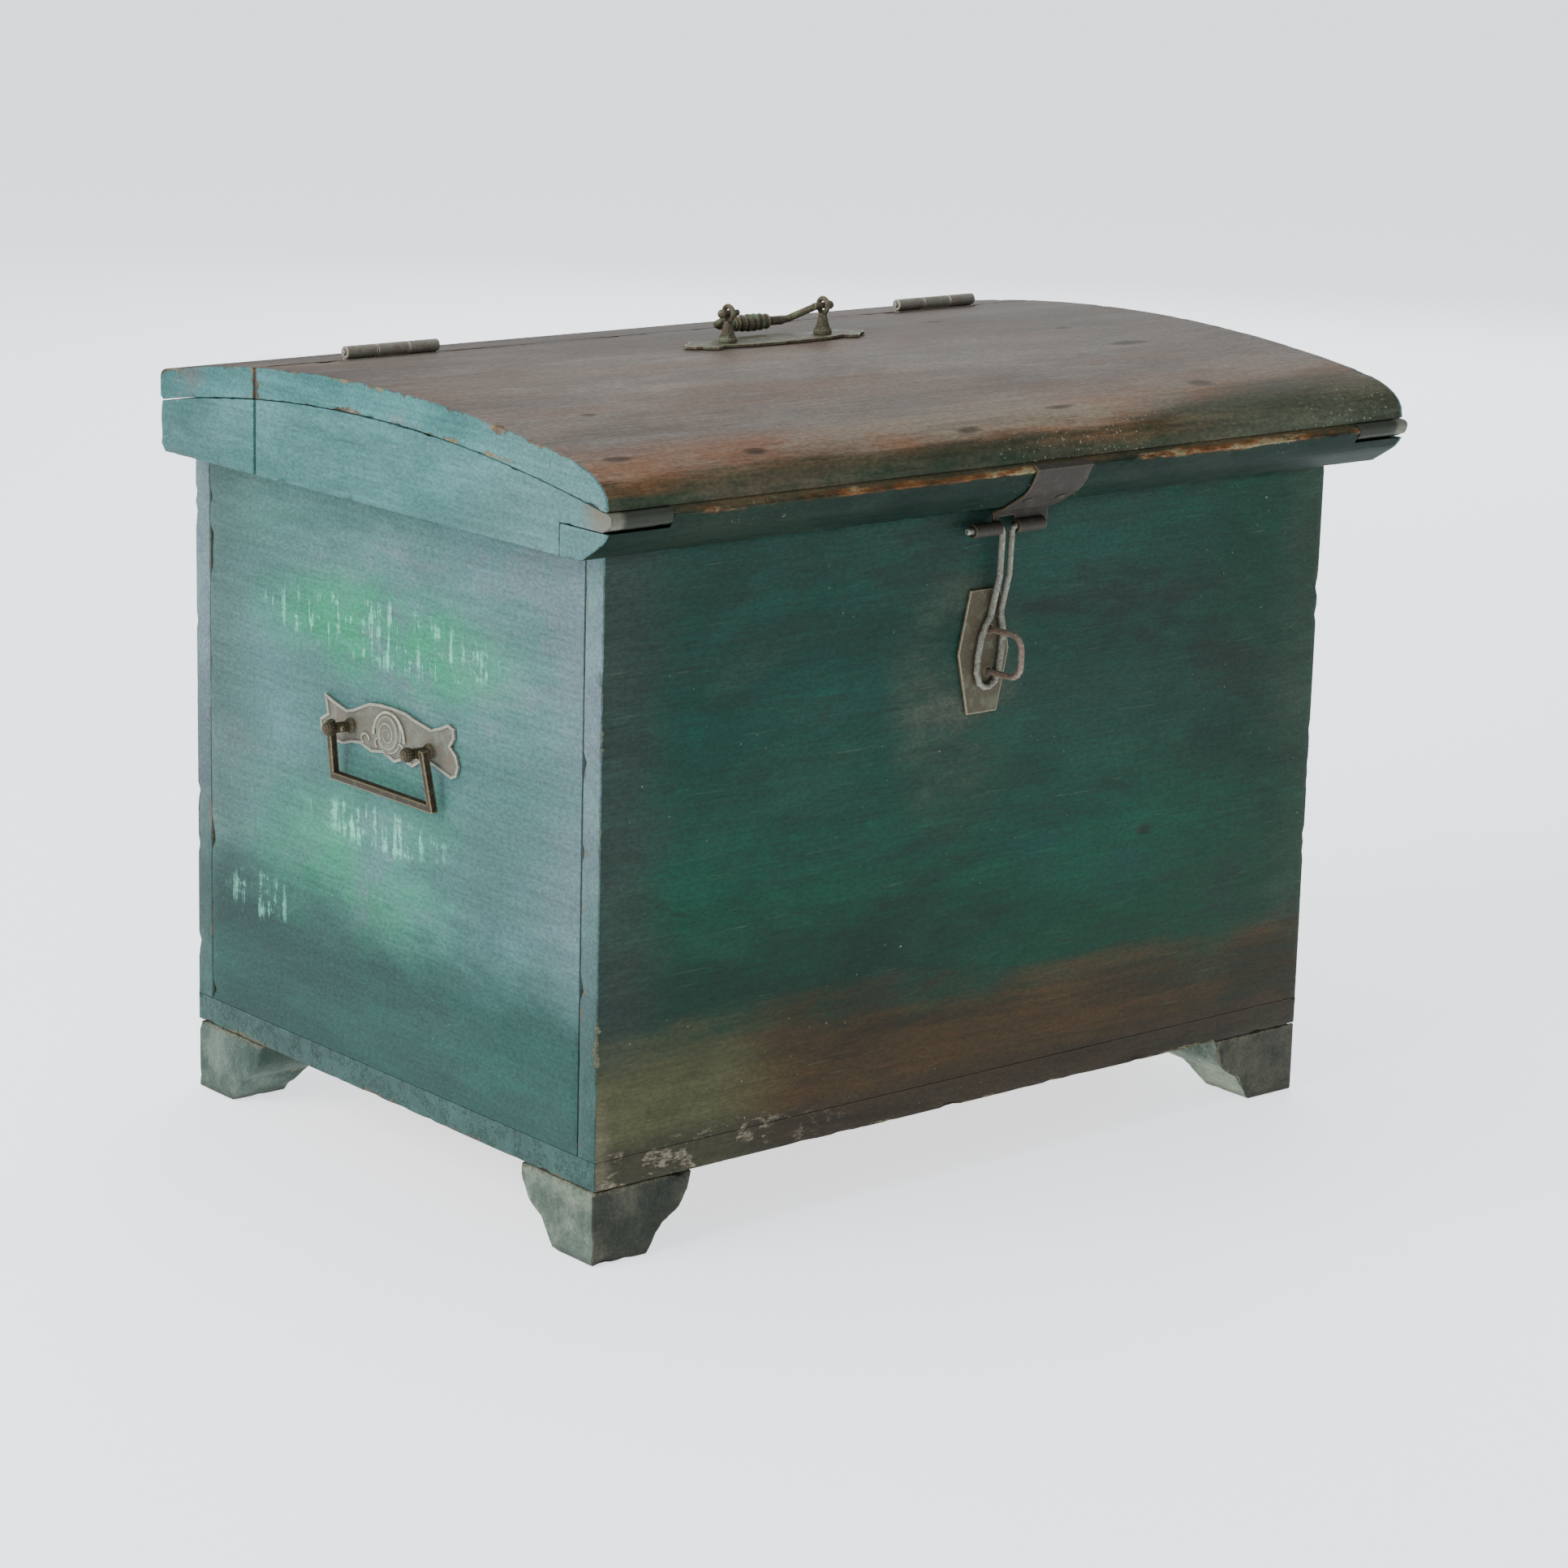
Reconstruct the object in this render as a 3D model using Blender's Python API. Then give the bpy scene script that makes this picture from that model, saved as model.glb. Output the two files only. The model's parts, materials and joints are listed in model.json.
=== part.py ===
"""A painted wooden cash chest with a hinged lid, iron hasp, top handle and side handles.

Metres, +Z up, +X to the chest's right, -Y towards its front. The origin is under the middle of the
whole object, on the surface it stands on.
"""

from math import cos, hypot, pi, sin, sqrt

import bmesh
import bpy
from mathutils import Matrix, Vector

# ---------------------------------------------------------------- driving dimensions
GAP = 0.0003                # between pieces that touch

BODY_WIDTH = 0.600          # across the four walls, without the lid's overhang
BODY_DEPTH = 0.4346
WALL_HEIGHT = 0.3683        # front, back and side boards
FRONT_WALL = 0.017          # thickness of the front and back boards
SIDE_WALL = 0.017
BASE_THICK = 0.018          # base board under the walls

FOOT_HEIGHT = 0.047
FOOT_TOP = 0.075            # each foot is this wide where it meets the base
FOOT_BOTTOM = 0.041
FOOT_STEP_Z = 0.0176        # height of the step in the foot's outline
FOOT_STEP_WIDTH = 0.053

LID_OVERHANG = 0.029        # lid beyond the side walls, each side
LID_NOSE_REACH = 0.0443     # foremost edge of the lid beyond the front wall
LID_HEIGHT = 0.073          # underside of the lid to its crown
TOP_BOARD = 0.0195          # thickness of the crowned top boards
CROWN_RADIUS = 1.302
CROWN_FORWARD = 0.018       # crown line ahead of the body's middle
CHEEK_THICK = 0.045
TONGUE_THICK = 0.0155       # cheek's tongue between the top board and the front rail
FRONT_RAIL_DEPTH = 0.049
INNER_RAIL = 0.018          # rails along the seam and along the back
ARRIS_DROP = 0.0461         # foremost edge of the nose below the lid's crown
CHAMFER_RISE = 0.0108       # where the nose's lower face turns towards the underside
CHAMFER_REACH = 0.0290      # where it meets the underside, behind the foremost edge
STRIP_DEPTH = 0.1081        # fixed strip behind the seam
SEAM = 0.0025
STRIP_INSET = 0.0055        # strip's back edge ahead of the back wall
LID_REST = 0.0005           # lid's underside above the rim

HINGE_LENGTH = 0.071
HINGE_PLACES = {"left": -0.226, "right": 0.236}     # each hinge's middle, from the middle of the lid
LEAF_HEIGHT = 0.0205
LEAF_THICK = 0.0018
KNUCKLE_RADIUS = 0.004
KNUCKLE_RISE = 0.0045       # pin's axis above the lid's surface at the seam
PIN_RADIUS = 0.0015
BORE_PLAY = 0.0003
SCREW_PITCH = 0.026
SCREW_RADIUS = 0.0016
SCREW_HEAD = 0.0030
SCREW_LENGTH = 0.015

STRAP_THICK = 0.0015
STRAP_WIDTH = 0.046
BEND_SPREAD = 1.33          # outer corner of its bend stands this many thicknesses off the nose
STRAP_X = 0.019             # middle of the strap
STRAP_LAP = 0.0035          # strap's top edge above the nose's foremost edge
BARREL_RADIUS = 0.0044
BARREL_LENGTH = 0.0586
BARREL_X = 0.0075           # middle of the hasp's barrel
BARREL_DROP = 0.0142        # barrel's axis below the lid's underside
BARREL_PROUD = 0.0082       # barrel's axis ahead of the front wall
SLOT_WIDTH = 0.0135
WIRE_RADIUS = 0.0021
ROD_SPACING = 0.0078
EYE_WIDTH = 0.0192          # between the middles of the wire
EYE_HEIGHT = 0.044
HASP_DROP = 0.1005          # from the barrel's axis to the middle of the eye's lowest wire
EYE_SHIFT = -0.0098         # the old wire hangs a little to the left
NAIL_RADIUS = 0.0014
NAIL_HEAD = 0.0036

STAPLE_X = 0.0016
STAPLE_PITCH = 0.027        # between its two legs
STAPLE_REACH = 0.029        # middle of its outer wire ahead of its plate
STAPLE_CORNER = 0.009
STAPLE_BITE = 0.012         # legs into the front wall
PLATE_X = -0.003
PLATE_HEIGHT = 0.0785
PLATE_WIDE = 0.042
PLATE_NARROW = 0.025
PLATE_THICK = 0.002
STAPLE_IN_EYE = 0.0223      # middle of the staple and of its plate above the lowest point of the hasp's eye

GRIP_PLATE_LENGTH = 0.150   # top handle's plate
GRIP_PLATE_WIDTH = 0.030
GRIP_X = 0.006              # middle of the top handle
GRIP_Y = 0.0                # from the body's middle
POST_SPACING = 0.080
RING_RISE = 0.0185          # ring's axis above its plate
RING_MAJOR = 0.0046
RING_MINOR = 0.0018
POST_FOOT = 0.0062
BAIL_RADIUS = 0.0024
BAIL_BAR_RADIUS = 0.0030
BAIL_PIN_RADIUS = 0.0022
BAIL_BACK = 0.0256          # bar behind its axis at rest
BAIL_DOWN = 0.0117
BAIL_INSET = 0.0085
GRIP_LENGTH = 0.030
GRIP_RADIUS = 0.0058
GRIP_BEADS = 6

SIDE_HANDLE_Y = -0.008      # from the body's middle
SIDE_HANDLE_Z = 0.286
SIDE_POST_SPACING = 0.084
SIDE_POST_RADIUS = 0.0034
SIDE_PLATE_THICK = 0.0022
SIDE_AXIS_OUT = 0.0125      # bail's axis from the wall
SIDE_BALL_OUT = 0.0192
SIDE_BALL_RADIUS = 0.0048
SIDE_BAIL_SECTION = 0.0048
SIDE_BAIL_DROP = 0.0330
SIDE_BAIL_OUT = 0.0078      # lower bar's middle from the wall at rest
SIDE_PIN_RADIUS = 0.0016
BAIL_PLAY = 0.0006          # between a leg of the bail and the ball beside it

# ---------------------------------------------------------------- places worked out from them
LID_WIDTH = BODY_WIDTH + 2 * LID_OVERHANG
TOTAL_DEPTH = BODY_DEPTH + LID_NOSE_REACH + (GAP + STRAP_THICK) * BEND_SPREAD
BACK_Y = TOTAL_DEPTH / 2
FRONT_Y = BACK_Y - BODY_DEPTH
MID_Y = (FRONT_Y + BACK_Y) / 2
LEFT_X, RIGHT_X = -BODY_WIDTH / 2, BODY_WIDTH / 2
BASE_Z = FOOT_HEIGHT + GAP
WALL_Z = BASE_Z + BASE_THICK + GAP
RIM_Z = WALL_Z + WALL_HEIGHT
LID_Z = RIM_Z + LID_REST
STRIP_Z = RIM_Z + GAP
CROWN_Z = LID_Z + LID_HEIGHT
ARRIS_Z = CROWN_Z - ARRIS_DROP
CROWN_Y = MID_Y - CROWN_FORWARD
NOSE_Y = FRONT_Y - LID_NOSE_REACH
STRIP_BACK_Y = BACK_Y - STRIP_INSET
STRIP_FRONT_Y = STRIP_BACK_Y - STRIP_DEPTH
SEAM_Y = STRIP_FRONT_Y - SEAM / 2
LID_BACK_Y = STRIP_FRONT_Y - SEAM
RAIL_BACK_Y = NOSE_Y + FRONT_RAIL_DEPTH
PLATE_FACE_Y = FRONT_Y - GAP - PLATE_THICK


def crown_height(y, below=0.0):
    """Height of the crowned top at this y, or of a surface that lies this far below it."""
    return CROWN_Z - CROWN_RADIUS + sqrt((CROWN_RADIUS - below) ** 2 - (y - CROWN_Y) ** 2)


HINGE_Z = crown_height(SEAM_Y) + KNUCKLE_RISE
BARREL_Z = LID_Z - BARREL_DROP
BARREL_Y = FRONT_Y - BARREL_PROUD
STAPLE_Z = BARREL_Z - HASP_DROP + STAPLE_IN_EYE

PAINT_GREEN = ((0.035, 0.072, 0.058), 0.55, 0.0)
PAINT_TEAL = ((0.150, 0.290, 0.270), 0.60, 0.0)
WORN_WOOD = ((0.230, 0.200, 0.165), 0.70, 0.0)
GREY_GREEN = ((0.130, 0.170, 0.140), 0.65, 0.0)
OLD_IRON = ((0.115, 0.100, 0.088), 0.55, 0.8)
WIRE_IRON = ((0.330, 0.340, 0.300), 0.45, 0.8)

parts = None
cutters = None


# ---------------------------------------------------------------- helpers
def clear_scene():
    for thing in list(bpy.data.objects):
        bpy.data.objects.remove(thing, do_unlink=True)


def make_collection(name):
    made = bpy.data.collections.new(name)
    bpy.context.scene.collection.children.link(made)
    return made


def material(name, look):
    found = bpy.data.materials.get(name)
    if found:
        return found
    colour, roughness, metallic = look
    made = bpy.data.materials.new(name)
    made.use_nodes = True
    shader = made.node_tree.nodes["Principled BSDF"]
    shader.inputs["Base Color"].default_value = (*colour, 1)
    shader.inputs["Roughness"].default_value = roughness
    shader.inputs["Metallic"].default_value = metallic
    made.diffuse_color = (*colour, 1)
    return made


LOOKS = {
    "paint_green": PAINT_GREEN,
    "paint_teal": PAINT_TEAL,
    "worn_wood": WORN_WOOD,
    "grey_green": GREY_GREEN,
    "old_iron": OLD_IRON,
    "wire_iron": WIRE_IRON,
}


def add(name, mesh, look=None, origin=(0, 0, 0)):
    """An object whose mesh is given in world space: a part if it has a look, and otherwise a cutter."""
    mesh.transform(Matrix.Translation(-Vector(origin)))
    made = bpy.data.objects.new(name, mesh)
    made.location = origin
    if look:
        parts.objects.link(made)
        mesh.materials.append(material(look, LOOKS[look]))
    else:
        cutters.objects.link(made)
        made.hide_render = True
        made.display_type = "WIRE"
    return made


def finished(bm, name):
    bmesh.ops.recalc_face_normals(bm, faces=bm.faces)
    mesh = bpy.data.meshes.new(name)
    bm.to_mesh(mesh)
    bm.free()
    return mesh


def box(name, low, high, look=None, origin=(0, 0, 0)):
    low, high = Vector(low), Vector(high)
    bm = bmesh.new()
    bmesh.ops.create_cube(
        bm, size=1, matrix=Matrix.Translation((low + high) / 2) @ Matrix.Diagonal((*(high - low), 1)),
    )
    return add(name, finished(bm, name), look, origin)


def turned_to(direction):
    return Vector((0, 0, 1)).rotation_difference(Vector(direction)).to_matrix().to_4x4()


def rod(name, start, end, radius, look=None, sides=24, end_radius=None, origin=(0, 0, 0)):
    """A cylinder, or a cone when the radius at its end differs."""
    start, end = Vector(start), Vector(end)
    bm = bmesh.new()
    bmesh.ops.create_cone(
        bm,
        cap_ends=True,
        segments=sides,
        radius1=radius,
        radius2=radius if end_radius is None else end_radius,
        depth=(end - start).length,
        matrix=Matrix.Translation((start + end) / 2) @ turned_to(end - start),
    )
    return add(name, finished(bm, name), look, origin)


def ball(name, centre, radius, look=None):
    bm = bmesh.new()
    bmesh.ops.create_uvsphere(
        bm, u_segments=16, v_segments=10, radius=radius, matrix=Matrix.Translation(centre),
    )
    return add(name, finished(bm, name), look)


def mesh_of_curve(name, curve, placing=Matrix()):
    """The curve's own mesh with its caps welded, moved into place."""
    holder = bpy.data.objects.new(name, curve)
    bpy.context.scene.collection.objects.link(holder)
    graph = bpy.context.evaluated_depsgraph_get()
    mesh = bpy.data.meshes.new_from_object(holder.evaluated_get(graph))
    bpy.data.objects.remove(holder)
    bpy.data.curves.remove(curve)
    bm = bmesh.new()
    bm.from_mesh(mesh)
    bmesh.ops.remove_doubles(bm, verts=bm.verts, dist=1e-6)
    bmesh.ops.recalc_face_normals(bm, faces=bm.faces)
    bm.to_mesh(mesh)
    bm.free()
    mesh.transform(placing)
    return mesh


ALONG_X = Matrix(((0, 0, 1, 0), (1, 0, 0, 0), (0, 1, 0, 0), (0, 0, 0, 1)))  # outline in Y and Z
ALONG_Y = Matrix(((1, 0, 0, 0), (0, 0, -1, 0), (0, 1, 0, 0), (0, 0, 0, 1)))  # outline in X and Z
ALONG_Z = Matrix()  # outline in X and Y
ACROSS = {"x": ((1, 0, 0), ALONG_X), "y": ((0, 1, 0), ALONG_Y), "z": ((0, 0, 1), ALONG_Z)}


def flat_curve(name, outline, thick):
    """A closed outline in the curve's own plane, made this thick about it."""
    curve = bpy.data.curves.new(name, "CURVE")
    curve.dimensions = "2D"
    curve.fill_mode = "BOTH"
    curve.extrude = thick / 2
    spline = curve.splines.new("POLY")
    spline.points.add(len(outline) - 1)
    for point, (a, b) in zip(spline.points, outline):
        point.co = (a, b, 0, 1)
    spline.use_cyclic_u = True
    return curve


def slab(name, outline, along, start, end, look=None, origin=(0, 0, 0)):
    """A flat outline made solid between two places on the axis across it."""
    axis, turning = ACROSS[along]
    placing = Matrix.Translation(Vector(axis) * (start + end) / 2) @ turning
    return add(name, mesh_of_curve(name, flat_curve(name, outline, abs(end - start)), placing), look, origin)


def tube(name, points, radius, look=None, origin=(0, 0, 0), resolution=2):
    """A round wire along these points, with filled ends."""
    curve = bpy.data.curves.new(name, "CURVE")
    curve.dimensions = "3D"
    curve.bevel_depth = radius
    curve.bevel_resolution = resolution
    curve.use_fill_caps = True
    spline = curve.splines.new("POLY")
    spline.points.add(len(points) - 1)
    for point, place in zip(spline.points, points):
        point.co = (*place, 1)
    return add(name, mesh_of_curve(name, curve), look, origin)


def turned(name, profile, place, direction, look=None, sides=16, origin=(0, 0, 0)):
    """A lathe shape: (radius, height) pairs from its bottom to its top, standing at a place."""
    bm = bmesh.new()
    ring = [bm.verts.new((radius, 0, height)) for radius, height in profile]
    edges = [bm.edges.new(pair) for pair in zip(ring, ring[1:])]
    bmesh.ops.spin(
        bm, geom=ring + edges, cent=(0, 0, 0), axis=(0, 0, 1), angle=2 * pi, steps=sides, use_merge=True
    )
    bmesh.ops.remove_doubles(bm, verts=bm.verts, dist=1e-7)
    bmesh.ops.transform(bm, matrix=Matrix.Translation(place) @ turned_to(direction), verts=bm.verts)
    return add(name, finished(bm, name), look, origin)


def combine(target, tool, operation):
    step = target.modifiers.new(f"{operation.lower()} {tool.name}", "BOOLEAN")
    step.operation = operation
    step.object = tool
    step.solver = "EXACT"


def cut(target, *tools):
    for tool in tools:
        combine(target, tool, "DIFFERENCE")


def join(target, *tools):
    for tool in tools:
        combine(target, tool, "UNION")


def bezier(start, lead, trail, end, count):
    """Points along a cubic curve, without its first."""
    found = []
    for i in range(1, count + 1):
        t = i / count
        weights = ((1 - t) ** 3, 3 * t * (1 - t) ** 2, 3 * t * t * (1 - t), t**3)
        found.append(tuple(sum(w * p[k] for w, p in zip(weights, (start, lead, trail, end))) for k in (0, 1)))
    return found


def arc(centre, radius, first, last, count):
    """Points on a circle from one angle to another, both included."""
    return [
        (
            centre[0] + radius * cos(first + (last - first) * i / count),
            centre[1] + radius * sin(first + (last - first) * i / count),
        )
        for i in range(count + 1)
    ]


# ---------------------------------------------------------------- case
def make_case():
    box("base_board", (LEFT_X, FRONT_Y, BASE_Z), (RIGHT_X, BACK_Y, BASE_Z + BASE_THICK), "paint_green")
    box("front_board", (LEFT_X, FRONT_Y, WALL_Z), (RIGHT_X, FRONT_Y + FRONT_WALL, RIM_Z), "paint_green")
    box("back_board", (LEFT_X, BACK_Y - FRONT_WALL, WALL_Z), (RIGHT_X, BACK_Y, RIM_Z), "paint_green")
    inner_front = FRONT_Y + FRONT_WALL + GAP
    inner_back = BACK_Y - FRONT_WALL - GAP
    box(
        "left_side_board", (LEFT_X, inner_front, WALL_Z), (LEFT_X + SIDE_WALL, inner_back, RIM_Z),
        "paint_teal",
    )
    box(
        "right_side_board", (RIGHT_X - SIDE_WALL, inner_front, WALL_Z), (RIGHT_X, inner_back, RIM_Z),
        "paint_teal",
    )


def foot_outline(corner, inward):
    """Bracket foot seen from one side: upright at the corner, an ovolo, a step and a slanted ankle."""
    def at(width, height):
        return (corner + inward * width, height)

    shoulder = at(FOOT_TOP - 0.0035, FOOT_HEIGHT * 0.67)
    step = at(FOOT_STEP_WIDTH, FOOT_STEP_Z)
    return [
        at(0, 0),
        at(0, FOOT_HEIGHT),
        at(FOOT_TOP, FOOT_HEIGHT),
        shoulder,
        *bezier(
            shoulder, at(FOOT_TOP - 0.007, FOOT_HEIGHT * 0.55),
            at(FOOT_STEP_WIDTH + 0.009, FOOT_STEP_Z + 0.004), step, 5,
        ),
        at(FOOT_BOTTOM, 0),
    ]


def make_feet():
    for name, corner_x, inward_x, corner_y, inward_y in (
        ("front_left_foot", LEFT_X, 1, FRONT_Y, 1),
        ("front_right_foot", RIGHT_X, -1, FRONT_Y, 1),
        ("rear_left_foot", LEFT_X, 1, BACK_Y, -1),
        ("rear_right_foot", RIGHT_X, -1, BACK_Y, -1),
    ):
        reach = corner_y + inward_y * (FOOT_TOP + GAP)
        low, high = sorted((corner_y, reach))
        foot = slab(name, foot_outline(corner_x, inward_x), "y", low, high, "grey_green")
        side = slab(
            f"{name} side outline", foot_outline(corner_y, inward_y), "x",
            *sorted((corner_x - inward_x * 0.01, corner_x + inward_x * (FOOT_TOP + 0.01))),
        )
        combine(foot, side, "INTERSECT")


# ---------------------------------------------------------------- lid and the fixed strip behind it
def crown_points(first, last, count, below=0.0):
    return [
        (y, crown_height(y, below))
        for y in (first + (last - first) * i / count for i in range(count + 1))
    ]


def under_board(y):
    """Height of the pieces that meet the underside of the top boards."""
    return crown_height(y, TOP_BOARD + GAP)


LIP_Y = NOSE_Y + 0.0050     # lower lip of the top board's nose
ROUND_Y = NOSE_Y + 0.0500   # where the crown starts to turn down into the nose


def nose_face():
    """Front face of the lid's front rail, from its foremost edge down to its underside."""
    arris = (NOSE_Y, ARRIS_Z)
    eased = (arris[0] + 0.0012, arris[1] - 0.0022)
    hollow = (NOSE_Y + 0.0115, LID_Z + CHAMFER_RISE)
    curve = bezier(
        eased, (eased[0] + 0.0033, LID_Z + 0.0178), (hollow[0] - 0.0035, LID_Z + 0.0128), hollow, 4,
    )
    return [arris, eased, *curve, (NOSE_Y + CHAMFER_REACH, LID_Z)]


def make_lid():
    lip_z = crown_height(LIP_Y + 0.004, TOP_BOARD)
    round_z = crown_height(ROUND_Y)
    slope = (ROUND_Y - CROWN_Y) / CROWN_RADIUS
    nose = bezier(
        (ROUND_Y, round_z), (
            ROUND_Y - 0.022, round_z + 0.022 * slope,
        ), (LIP_Y, lip_z + 0.017), (LIP_Y, lip_z + 0.0016), 8
    )
    top = crown_points(LID_BACK_Y, ROUND_Y, 10) + nose + crown_points(
        LIP_Y + 0.003, LID_BACK_Y, 12, TOP_BOARD,
    )
    slab("lid_top_board", top, "x", -LID_WIDTH / 2, LID_WIDTH / 2, "worn_wood")

    tongue_z = under_board(RAIL_BACK_Y) - TONGUE_THICK - 0.0035
    arris = (NOSE_Y, ARRIS_Z)
    tip_top = (LIP_Y + 0.0005, under_board(LIP_Y + 0.004))
    cheek = (
        crown_points(LID_BACK_Y, LIP_Y + 0.004, 12, TOP_BOARD + GAP)
        + bezier(tip_top, (NOSE_Y + 0.001, tip_top[1] - 0.001), (NOSE_Y, arris[1] + 0.003), arris, 4)
        + bezier(
            arris, (NOSE_Y, arris[1] - 0.006), (NOSE_Y + 0.003, tongue_z + 0.003),
            (NOSE_Y + 0.0085, tongue_z), 4,
        )
        + [(RAIL_BACK_Y, tongue_z), (RAIL_BACK_Y, LID_Z), (LID_BACK_Y, LID_Z)]
    )
    for side, name in ((-1, "lid_left_cheek"), (1, "lid_right_cheek")):
        outer, inner = side * LID_WIDTH / 2, side * (LID_WIDTH / 2 - CHEEK_THICK)
        slab(name, cheek, "x", *sorted((outer, inner)), "paint_teal")

    rail = (
        crown_points(RAIL_BACK_Y - GAP, LIP_Y + 0.002, 4, TOP_BOARD + GAP)
        + nose_face()
        + [(RAIL_BACK_Y - GAP, LID_Z)]
    )
    front_rail = slab("lid_front_rail", rail, "x", -LID_WIDTH / 2, LID_WIDTH / 2, "paint_green")
    for side in (-1, 1):
        near, far = side * (LID_WIDTH / 2 - CHEEK_THICK - GAP), side * (LID_WIDTH / 2 + 0.01)
        low_x, high_x = sorted((near, far))
        cut(
            front_rail,
            box(
                f"tongue slot {side}", (low_x, NOSE_Y - 0.02, tongue_z - GAP),
                (high_x, RAIL_BACK_Y + 0.02, CROWN_Z),
            ),
        )

    inner = LID_WIDTH / 2 - CHEEK_THICK - GAP
    seam_rail = crown_points(LID_BACK_Y, LID_BACK_Y - INNER_RAIL, 2, TOP_BOARD + GAP) + [
        (LID_BACK_Y - INNER_RAIL, LID_Z), (LID_BACK_Y, LID_Z)
    ]
    slab("lid_seam_rail", seam_rail, "x", -inner, inner, "worn_wood")


def make_fixed_strip():
    back = STRIP_BACK_Y
    edge = 0.0060
    corner_z = crown_height(back - edge)
    under_z = crown_height(back, TOP_BOARD)
    board = (
        crown_points(STRIP_FRONT_Y, back - edge, 5)
        + bezier(
            (back - edge, corner_z), (back - 0.002, corner_z - 0.001), (back, corner_z - 0.003),
            (back, corner_z - edge), 3,
        )
        + [(back, under_z + 0.003), (back - 0.003, under_z + 0.0006)]
        + crown_points(back - 0.005, STRIP_FRONT_Y, 5, TOP_BOARD)
    )
    slab("strip_top_board", board, "x", -LID_WIDTH / 2, LID_WIDTH / 2, "worn_wood")
    cheek = crown_points(STRIP_FRONT_Y, back - 0.002, 6, TOP_BOARD + GAP) + [
        (
            back - 0.0005, under_board(back) - 0.004,
        ), (back - 0.0005, STRIP_Z + 0.005), (back - 0.005, STRIP_Z), (STRIP_FRONT_Y, STRIP_Z)
    ]
    for side, name in ((-1, "strip_left_cheek"), (1, "strip_right_cheek")):
        outer, inner = side * LID_WIDTH / 2, side * (LID_WIDTH / 2 - CHEEK_THICK)
        slab(name, cheek, "x", *sorted((outer, inner)), "paint_teal")
    inner = LID_WIDTH / 2 - CHEEK_THICK - GAP
    for name, near, far in (
        ("strip_seam_rail", STRIP_FRONT_Y, STRIP_FRONT_Y + INNER_RAIL),
        ("strip_back_rail", back - 0.0005 - INNER_RAIL, back - 0.0005),
    ):
        rail = crown_points(near, far, 2, TOP_BOARD + GAP) + [(far, STRIP_Z), (near, STRIP_Z)]
        slab(name, rail, "x", -inner, inner, "worn_wood")


# ---------------------------------------------------------------- hinges
def screw_profile(length):
    return [(0, 0), (SCREW_HEAD, 0), (SCREW_RADIUS, 0.0016), (SCREW_RADIUS, length - 0.003), (0, length)]


def make_hinge(side, middle):
    first, last = middle - HINGE_LENGTH / 2, middle + HINGE_LENGTH / 2
    third = HINGE_LENGTH / 3
    split = 0.0002
    axis = (middle, SEAM_Y, HINGE_Z)
    leaf_top = HINGE_Z - KNUCKLE_RADIUS - GAP
    leaf_bottom = leaf_top - LEAF_HEIGHT
    own_knuckles = {
        "fixed": ((first, first + third - split), (last - third + split, last)),
        "lid": ((first + third + split, last - third - split),),
    }
    for kind, outward, holders in (
        ("fixed", 1, ("strip_top_board", "strip_seam_rail")),
        ("lid", -1, ("lid_top_board", "lid_seam_rail")),
    ):
        near, far = SEAM_Y + outward * GAP, SEAM_Y + outward * (GAP + LEAF_THICK)
        low_y, high_y = sorted((near, far))
        leaf = box(
            f"{side}_hinge_{kind}_leaf", (first, low_y, leaf_bottom), (last, high_y, leaf_top), "old_iron",
        )
        for i, (start, end) in enumerate(own_knuckles[kind]):
            label = f"{side} {kind} {i}"
            join(leaf, box(f"riser {label}", (start, low_y, leaf_top - 0.004), (end, high_y, HINGE_Z)))
            join(
                leaf,
                rod(
                    f"knuckle {label}", (start, SEAM_Y, HINGE_Z), (end, SEAM_Y, HINGE_Z), KNUCKLE_RADIUS,
                    sides=20,
                ),
            )
        cut(
            leaf,
            rod(
                f"bore {side} {kind}", (first - 0.01, SEAM_Y, HINGE_Z), (last + 0.01, SEAM_Y, HINGE_Z),
                PIN_RADIUS + BORE_PLAY, sides=16,
            ),
        )
        pocket = box(
            f"mortise {side} {kind}",
            (first - GAP, min(SEAM_Y, far + outward * GAP), leaf_bottom - GAP),
            (last + GAP, max(SEAM_Y, far + outward * GAP), leaf_top + 0.02),
        )
        for holder in holders:
            cut(bpy.data.objects[holder], pocket)
        screw_z = leaf_top - 0.0095
        for i in (-1, 0, 1):
            x = middle + i * SCREW_PITCH
            face = near
            label = f"{side}_{kind}_screw_{i + 2}"
            turned(
                label, screw_profile(SCREW_LENGTH), (x, face, screw_z), (0, outward, 0), "old_iron", sides=10,
            )
            hole = turned(
                f"hole {label}",
                [(0, -0.004), (SCREW_HEAD + GAP, -0.004), (SCREW_HEAD + GAP, 0.0002), (SCREW_RADIUS + GAP, 0.0018),
                 (SCREW_RADIUS + GAP, SCREW_LENGTH + 0.001), (0, SCREW_LENGTH + 0.0012)],
                (x, face, screw_z), (0, outward, 0), sides=10,
            )
            cut(leaf, hole)
            cut(bpy.data.objects[holders[0]], hole)
    rod(
        f"{side}_hinge_pin", (first - 0.0012, *axis[1:]), (last + 0.0012, *axis[1:]), PIN_RADIUS, "old_iron",
        sides=16, origin=axis,
    )


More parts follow.
